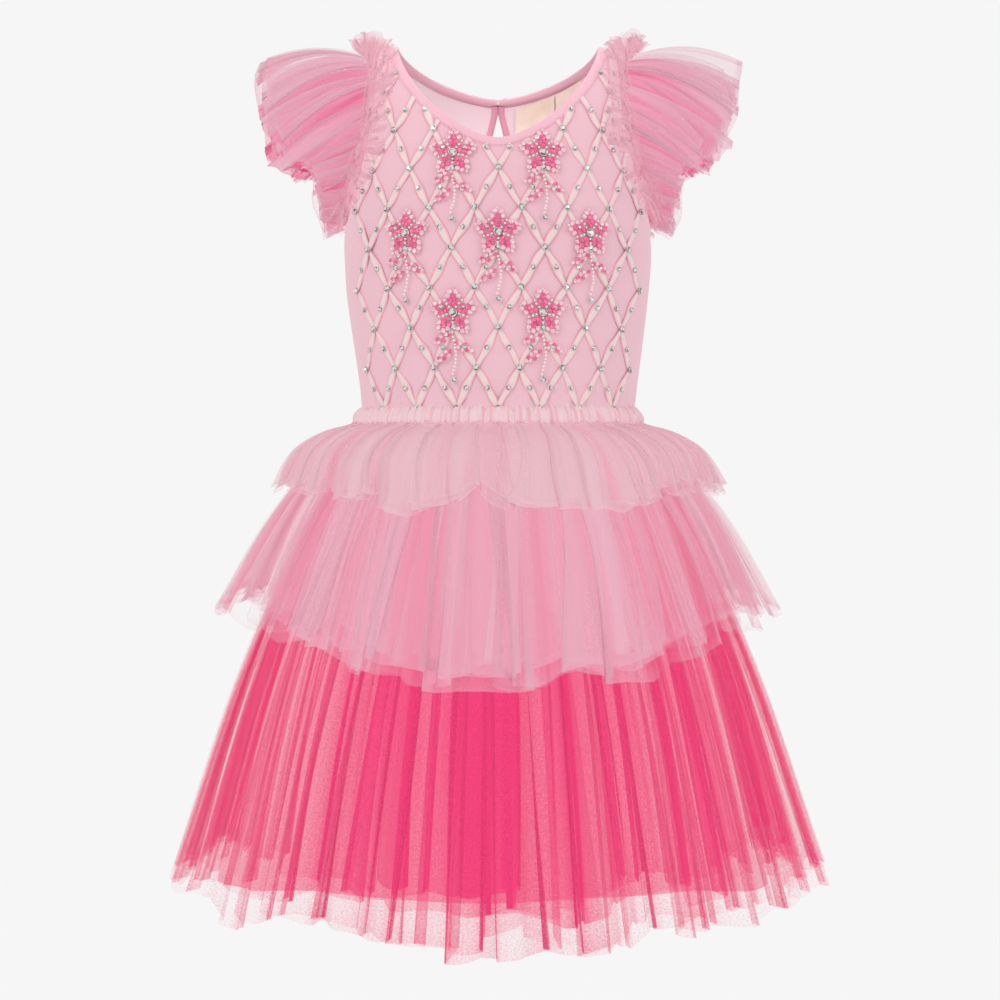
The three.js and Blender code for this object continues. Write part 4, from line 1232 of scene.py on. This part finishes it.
def scatter(name, template, material, points, normals, sizes, spins):
    mesh = bpy.data.meshes.new(name)
    mesh.vertices.add(len(points))
    mesh.vertices.foreach_set("co", (np.asarray(points, np.float32) * mm).ravel())
    facing = mesh.attributes.new("facing", "FLOAT_VECTOR", "POINT")
    facing.data.foreach_set("vector", np.asarray(normals, np.float32).ravel())
    for mark, values in (("size", sizes), ("spin", spins)):
        mesh.attributes.new(mark, "FLOAT", "POINT").data.foreach_set("value", np.asarray(values, np.float32))
    piece = placed(name, mesh)
    modifier = piece.modifiers.new("scatter", "NODES")
    modifier.node_group = scatterTree
    modifier[scatterSockets["Small Piece"]] = template
    modifier[scatterSockets["Finish"]] = material
    modifier[scatterSockets["Size"]] = 1.0
    plainMesh(piece)
    for mark in ("facing", "size", "spin"):
        if mark in piece.data.attributes:
            piece.data.attributes.remove(piece.data.attributes[mark])
    return piece


# Small turned pieces of radius 1 mm, from a profile of (radius, height), with a painted reflection value for
# each facet
def turnedTemplate(name, profile, sides, paintReflections=False, smooth=False):
    points, faces = [], []
    for radius, height in profile:
        for side in range(sides):
            turn = 2 * math.pi * side / sides
            points.append((radius * math.cos(turn) * mm, radius * math.sin(turn) * mm, height * mm))
    for ring in range(len(profile) - 1):
        for side in range(sides):
            after = (side + 1) % sides
            faces.append((ring * sides + side, (ring + 1) * sides + side, (ring + 1) * sides + after,
                          ring * sides + after)[::-1])
    faces.append(tuple(range(sides))[::-1])
    last = (len(profile) - 1) * sides
    faces.append(tuple(last + side for side in range(sides)))
    mesh = bpy.data.meshes.new(name)
    mesh.from_pydata(points, [], faces)
    paintedReflections = mesh.attributes.new("paintedReflection", "FLOAT", "FACE")
    rng = np.random.default_rng(17)
    # Painted reflections: each facet of a stone is dark or bright at random; other pieces are all bright
    values = rng.choice([0.08, 0.3, 0.75, 1.0], len(faces)) if paintReflections else np.ones(len(faces))
    paintedReflections.data.foreach_set("value", values.astype(np.float32))
    mesh.polygons.foreach_set("use_smooth", np.full(len(faces), smooth))
    mesh.update()
    piece = placed(name, mesh)
    piece.hide_render = True
    return piece


stone = {  # profiles in radii of the stone, from the jersey up
    "crystal": [(0.78, 0.1), (0.86, 0.45), (0.5, 0.78)],
    "setting": [(1.0, 0.0), (1.06, 0.3), (0.94, 0.52), (0.84, 0.4)],
    "sequin": [(0.25, -0.12), (0.7, -0.02), (1.0, 0.14), (0.98, 0.2), (0.68, 0.04)],
    "bead": [(0.45, 0.02), (0.92, 0.45), (0.95, 0.95), (0.5, 1.4)],
}


def makeStones():
    rng = np.random.default_rng(3)
    places, sizes = stonePlaces()
    normals = bodiceNormal(places)
    lifted = places + normals * 1.45
    spins = rng.uniform(0, 2 * math.pi, len(places))
    for name, template, finish in (
        ("stones", crystalTemplate, "crystal"), ("stoneSettings", settingTemplate, "silver"),
    ):
        piece = scatter(name, template, finishes[finish], lifted, normals, sizes, spins)
        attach(piece, "root")


# Beaded sprigs: a five petalled blossom of sequins with a crystal heart, on a stem of pearls with two leaves

sprig = {
    "places": [(-2, 2), (2, 2), (-4, 0), (0, 0), (4, 0), (-2, -2), (2, -2)],  # column and level of its middle
    "petals": 5, "scale": 1.35,
    "heart": 7.0,  # height of the blossom's middle
    "petal": [  # distance from the heart, across, size, hot or pale
        (3.4, 0, 1.5, True), (5.4, -1.5, 1.5, True), (5.4, 1.5, 1.5, True), (7.6, -2.6, 1.4, False),
        (7.6, 0, 1.6, True), (7.6, 2.6, 1.4, False), (9.8, -1.4, 1.4, False), (9.8, 1.4, 1.4, False),
        (11.2, 0, 0.9, False),
    ],
    "leaf": [(1.5, 0), (3.4, 1.1), (3.4, -1.1), (5.6, 1.3), (5.6, -1.3), (7.8, 0.7), (7.8, -0.7), (9.6, 0)],
    "leaves": [(-1, -8, 205), (1, -12, 335), (-1, -15.5, 215)],  # side, height, direction in degrees
    "stemPearls": 11,
}


# Every small piece of one sprig: kind, place across and up in millimetres, and size
def sprigPieces():
    heart, scale = sprig["heart"], sprig["scale"]
    found = [("crystal", 0, heart, 2.3), ("setting", 0, heart, 2.3)]
    for number in range(sprig["petals"]):
        turn = math.pi / 2 + 2 * math.pi * number / sprig["petals"]
        outward, aside = (math.cos(turn), math.sin(turn)), (-math.sin(turn), math.cos(turn))
        for distance, across, size, hot in sprig["petal"]:
            x, z = (distance * outward[i] + across * aside[i] for i in (0, 1))
            found.append(("hotSequin" if hot else "paleSequin", x, heart + z, size))
        between = turn + math.pi / sprig["petals"]
        for distance, size in ((3.0, 0.7), (5.0, 0.75), (7.0, 0.65)):
            found.append(("pearl", distance * math.cos(between), heart + distance * math.sin(between), size))
    for number in range(sprig["stemPearls"]):
        z = -4.5 - 1.75 * number
        found.append(("pearl", 1.4 * math.sin(number * 0.33), z, 0.72))
    for side, z, degrees in sprig["leaves"]:
        turn = math.radians(degrees)
        for number, (distance, across) in enumerate(sprig["leaf"]):
            x = distance * math.cos(turn) - across * math.sin(turn)
            rise = distance * math.sin(turn) + across * math.cos(turn)
            found.append(("paleSequin" if number % 3 else "hotSequin", x, z + 5 + rise, 1.15))
    found += [("crystal", 0.4, -24.6, 1.5), ("setting", 0.4, -24.6, 1.5)]
    return [(kind, x * scale, z * scale, size * (1 + scale) / 2) for kind, x, z, size in found]


def makeSprigs():
    rng = np.random.default_rng(29)
    kinds = {
        "crystal": (crystalTemplate, "crystal"), "setting": (settingTemplate, "silver"),
        "hotSequin": (sequinTemplate, "hotSequin"), "paleSequin": (sequinTemplate, "paleSequin"),
        "pearl": (beadTemplate, "pearl"),
    }
    gathered = {kind: [] for kind in kinds}
    for column, level in sprig["places"]:
        middle = trellisPoint([column], [level])[0]
        normal = bodiceNormal(middle[None])[0]
        right = unit(np.cross(np.array([0, 0, 1.0]), -normal))
        right = right if right[0] > 0 else -right
        up = unit(np.cross(right, normal))
        up = up if up[2] > 0 else -up
        for kind, across, rise, size in sprigPieces():
            shift = rng.normal(0, 0.18, 2)
            point = ontoBodice((middle + right * (across + shift[0]) + up * (rise + shift[1]))[None])[0]
            facing = bodiceNormal(point[None])[0]
            lift = {"crystal": 2.4, "setting": 2.4, "pearl": 1.9}.get(kind, 1.9 + rng.uniform(0, 0.7))
            if kind.endswith("Sequin"):
                facing = unit(facing + rng.normal(0, 0.16, 3))
            lifted = point + bodiceNormal(point[None])[0] * lift
            gathered[kind].append((lifted, facing, size, rng.uniform(0, 6.28)))
    for kind, (template, finish) in kinds.items():
        points, facings, sizes, spins = (np.array(part) for part in zip(*gathered[kind]))
        name = f"sprig{kind[0].upper()}{kind[1:]}"
        piece = scatter(name, template, finishes[finish], points, facings, sizes, spins)
        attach(piece, "root")


# Stitches: short threads that lie along a line on the bodice

stitch = {"length": 2.2, "gap": 1.1, "radius": 0.22, "sides": 6}


def stitchTemplate():
    points, faces = [], []
    half, radius, sides = stitch["length"] / 2, stitch["radius"], stitch["sides"]
    profile = [(-half, 0.3), (-half * 0.8, 0.9), (0, 1.0), (half * 0.8, 0.9), (half, 0.3)]
    for along, share in profile:
        for side in range(sides):
            turn = 2 * math.pi * side / sides
            lift = -0.12 * (along / half) ** 2
            points.append((along * mm, radius * share * math.cos(turn) * mm,
                           (radius * share * math.sin(turn) + lift) * mm))
    for ring in range(len(profile) - 1):
        for side in range(sides):
            after = (side + 1) % sides
            faces.append((ring * sides + side, ring * sides + after, (ring + 1) * sides + after,
                          (ring + 1) * sides + side)[::-1])
    faces.append(tuple(range(sides)))
    faces.append(tuple((len(profile) - 1) * sides + side for side in range(sides))[::-1])
    mesh = bpy.data.meshes.new("stitch")
    mesh.from_pydata(points, [], faces)
    mesh.polygons.foreach_set("use_smooth", np.full(len(faces), True))
    mesh.update()
    if signedVolume(mesh) < 0:
        mesh.flip_normals()
    piece = placed("stitch", mesh)
    piece.hide_render = True
    return piece


# Turns that carry the template's X along a line, once its Z faces along the normal
def spinAlong(normals, along):
    found = []
    for normal, way in zip(normals, along):
        turned = Vector((0, 0, 1)).rotation_difference(Vector(normal))
        local = turned.inverted() @ Vector(way)
        found.append(math.atan2(local.y, local.x))
    return np.array(found)


def stitchesAlong(name, line, height, finish):
    pitch = stitch["length"] + stitch["gap"]
    run = np.linalg.norm(np.diff(line, axis=0), axis=-1).sum()
    spots = resample(line, max(int(run / pitch), 2))
    along = unit(np.gradient(spots, axis=0))
    normals = bodiceNormal(spots)
    points = spots + normals * height
    piece = scatter(name, threadTemplate, finishes[finish], points, normals, np.ones(len(spots)),
                    spinAlong(normals, along))
    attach(piece, "root")


def offsetLine(line, distance, away):
    normal = bodiceNormal(line)
    aside = unit(np.cross(unit(np.gradient(line, axis=0)), normal))
    aside = aside * np.sign((aside * away).sum(-1).mean())
    return ontoBodice(line + aside * distance)


def makeStitches():
    line = neckEdge()
    stitchesAlong("neckStitches", offsetLine(line, 5.2, line - line.mean(0)), 0.95, "thread")
    wide, height = keyholeOutline(0, 60)
    keep = height < -40
    edge = keyholeEdge(wide[keep], height[keep], 120)
    stitchesAlong("keyholeStitches", offsetLine(edge, 3.6, edge - keyholeMiddle), 0.85, "thread")


# Label, button and loop

label = {"left": 12, "width": 26, "height": 16, "gap": 1, "tabWidth": 17, "wall": 0.5, "behind": 2.6}
button = {"across": 5.4, "height": -33, "radius": 3.6, "thickness": 1.6, "clear": 0.85,
          "loopRadius": 0.6, "loopGap": 1.1}


def labelRows(left, width, height, curl):
    columns, lines = 25, 13
    x = np.linspace(left + width, left, columns)[None]
    share = np.linspace(0, 1, lines)[:, None]
    edge = neckLine(x, 1, 6.4) - 1
    z = edge - height * share
    y = bodiceY(x, z, 1) - label["behind"] - 0.9 * share - curl * np.sin(math.pi * share) * np.sin(x * 0.35)
    return np.stack([np.broadcast_to(x, z.shape), y, z], -1)


def makeLabel():
    tabLeft = label["left"] + label["width"] + label["gap"]
    whole = labelRows(label["left"], label["width"], label["height"], 0.5)
    tab = labelRows(tabLeft, label["tabWidth"], label["height"] * 0.7, 0.4)
    for name, node, rows, size in (
        ("neckLabel", "neck_label", whole, (0.026, 0.016)),
        ("neckLabelTab", "neck_label_tab", tab, (0.018, 0.0112)),
    ):
        piece = fixOutward(meshFrom(name, *wallFrom(rows, False, label["wall"]), finishes["labelSatin"]))
        sharpenEdges(piece)
        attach(piece, "root")
        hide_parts(node)


def makeButton():
    across, height = button["across"], button["height"]
    middle = ontoBodice(np.array([[across, bodiceY(across, height, 1), height]], float))
    normal = bodiceNormal(middle)
    middle = middle + normal * button["clear"]
    radius, thick = button["radius"], button["thickness"]
    rounded = [(0.25, 0.0), (0.8, 0.02), (0.97, 0.2), (1.0, 0.5), (0.93, 0.85), (0.7, 1.0), (0.45, 0.92),
               (0.2, 0.84)]
    profile = [(share, rise * 2 * thick / radius) for share, rise in rounded]
    template = turnedTemplate("buttonForm", profile, 32, smooth=True)
    piece = scatter("backButton", template, finishes["buttonPearl"], middle, normal, [radius], [0])
    bpy.data.objects.remove(template)
    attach(piece, "root")
    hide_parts("back_button")

    turn = np.linspace(0, 2 * math.pi, 49)[:-1]
    aside = unit(np.cross(normal, [[0, 0, 1.0]]))
    up = unit(np.cross(aside, normal))
    around = np.cos(turn)[:, None] * aside + np.sin(turn)[:, None] * up
    ring = middle + normal * thick + (radius + button["loopGap"]) * around
    out = unit(ring - middle - normal * thick)
    section = np.linspace(0, 2 * math.pi, 8, endpoint=False)
    twist = 1 + 0.12 * np.sin(16 * turn)[None, :, None]
    tube = ring[None] + button["loopRadius"] * twist * (
        np.cos(section)[:, None, None] * out[None] + np.sin(section)[:, None, None] * normal[None])
    loop = fixOutward(meshFrom("buttonLoop", *tubeFrom(tube, True), finishes["thread"]))
    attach(loop, "root")
    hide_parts("button_loop")


def makeStage():
    depth = [-3.0, 1.6, 1.9, 2.1, 2.2, 2.2]
    height = [0, 0, 0.06, 0.22, 0.5, 4.0]
    points = [(x, y, studio["floorHeight"] + z) for y, z in zip(depth, height) for x in (-5, 5)]
    faces = [(2 * i, 2 * i + 1, 2 * i + 3, 2 * i + 2) for i in range(len(depth) - 1)]
    material, tree, shader = newMaterial("backdrop", Roughness=1.0, Emission_Strength=0.9)
    shader.inputs["Base Color"].default_value = (0.02, 0.02, 0.02, 1)
    shader.inputs["Emission Color"].default_value = (1, 1, 1, 1)
    shader.inputs["Specular IOR Level"].default_value = 0
    side = addNode(tree, "ShaderNodeNewGeometry")  # clear from behind, so that the dress's back shows
    tree.links.new(mathOf(tree, "SUBTRACT", 1.0, side.outputs["Backfacing"]), shader.inputs["Alpha"])
    mesh = bpy.data.meshes.new("backdrop")
    mesh.from_pydata(points, [], faces)
    mesh.materials.append(material)
    backdrop = placed("backdrop", mesh)


makeCamera()
makeLight()
makeStage()
print("stage set")
makeBodice()
makeBinding()
print("bodice made")
makeLining()
for tierName, tierSizes in (("lowerTier", lowerTier), ("middleTier", middleTier), ("peplum", peplum)):
    makeTier(tierName, tierSizes)
makeHeading()
print("skirt made")
makeSleeves()
makeFrills()
print("sleeves made")
scatterTree, scatterSockets = makeScatterTree()
crystalTemplate = turnedTemplate("crystalForm", stone["crystal"], 8, paintReflections=True)
settingTemplate = turnedTemplate("settingForm", stone["setting"], 12, smooth=True)
sequinTemplate = turnedTemplate("sequinForm", stone["sequin"], 8, smooth=True)
beadTemplate = turnedTemplate("beadForm", stone["bead"], 7, smooth=True)
threadTemplate = stitchTemplate()
makeRibbons()
makeStones()
makeSprigs()
makeStitches()
makeLabel()
makeButton()
for template in (crystalTemplate, settingTemplate, sequinTemplate, beadTemplate, threadTemplate):
    bpy.data.objects.remove(template)
print("trimmings made")
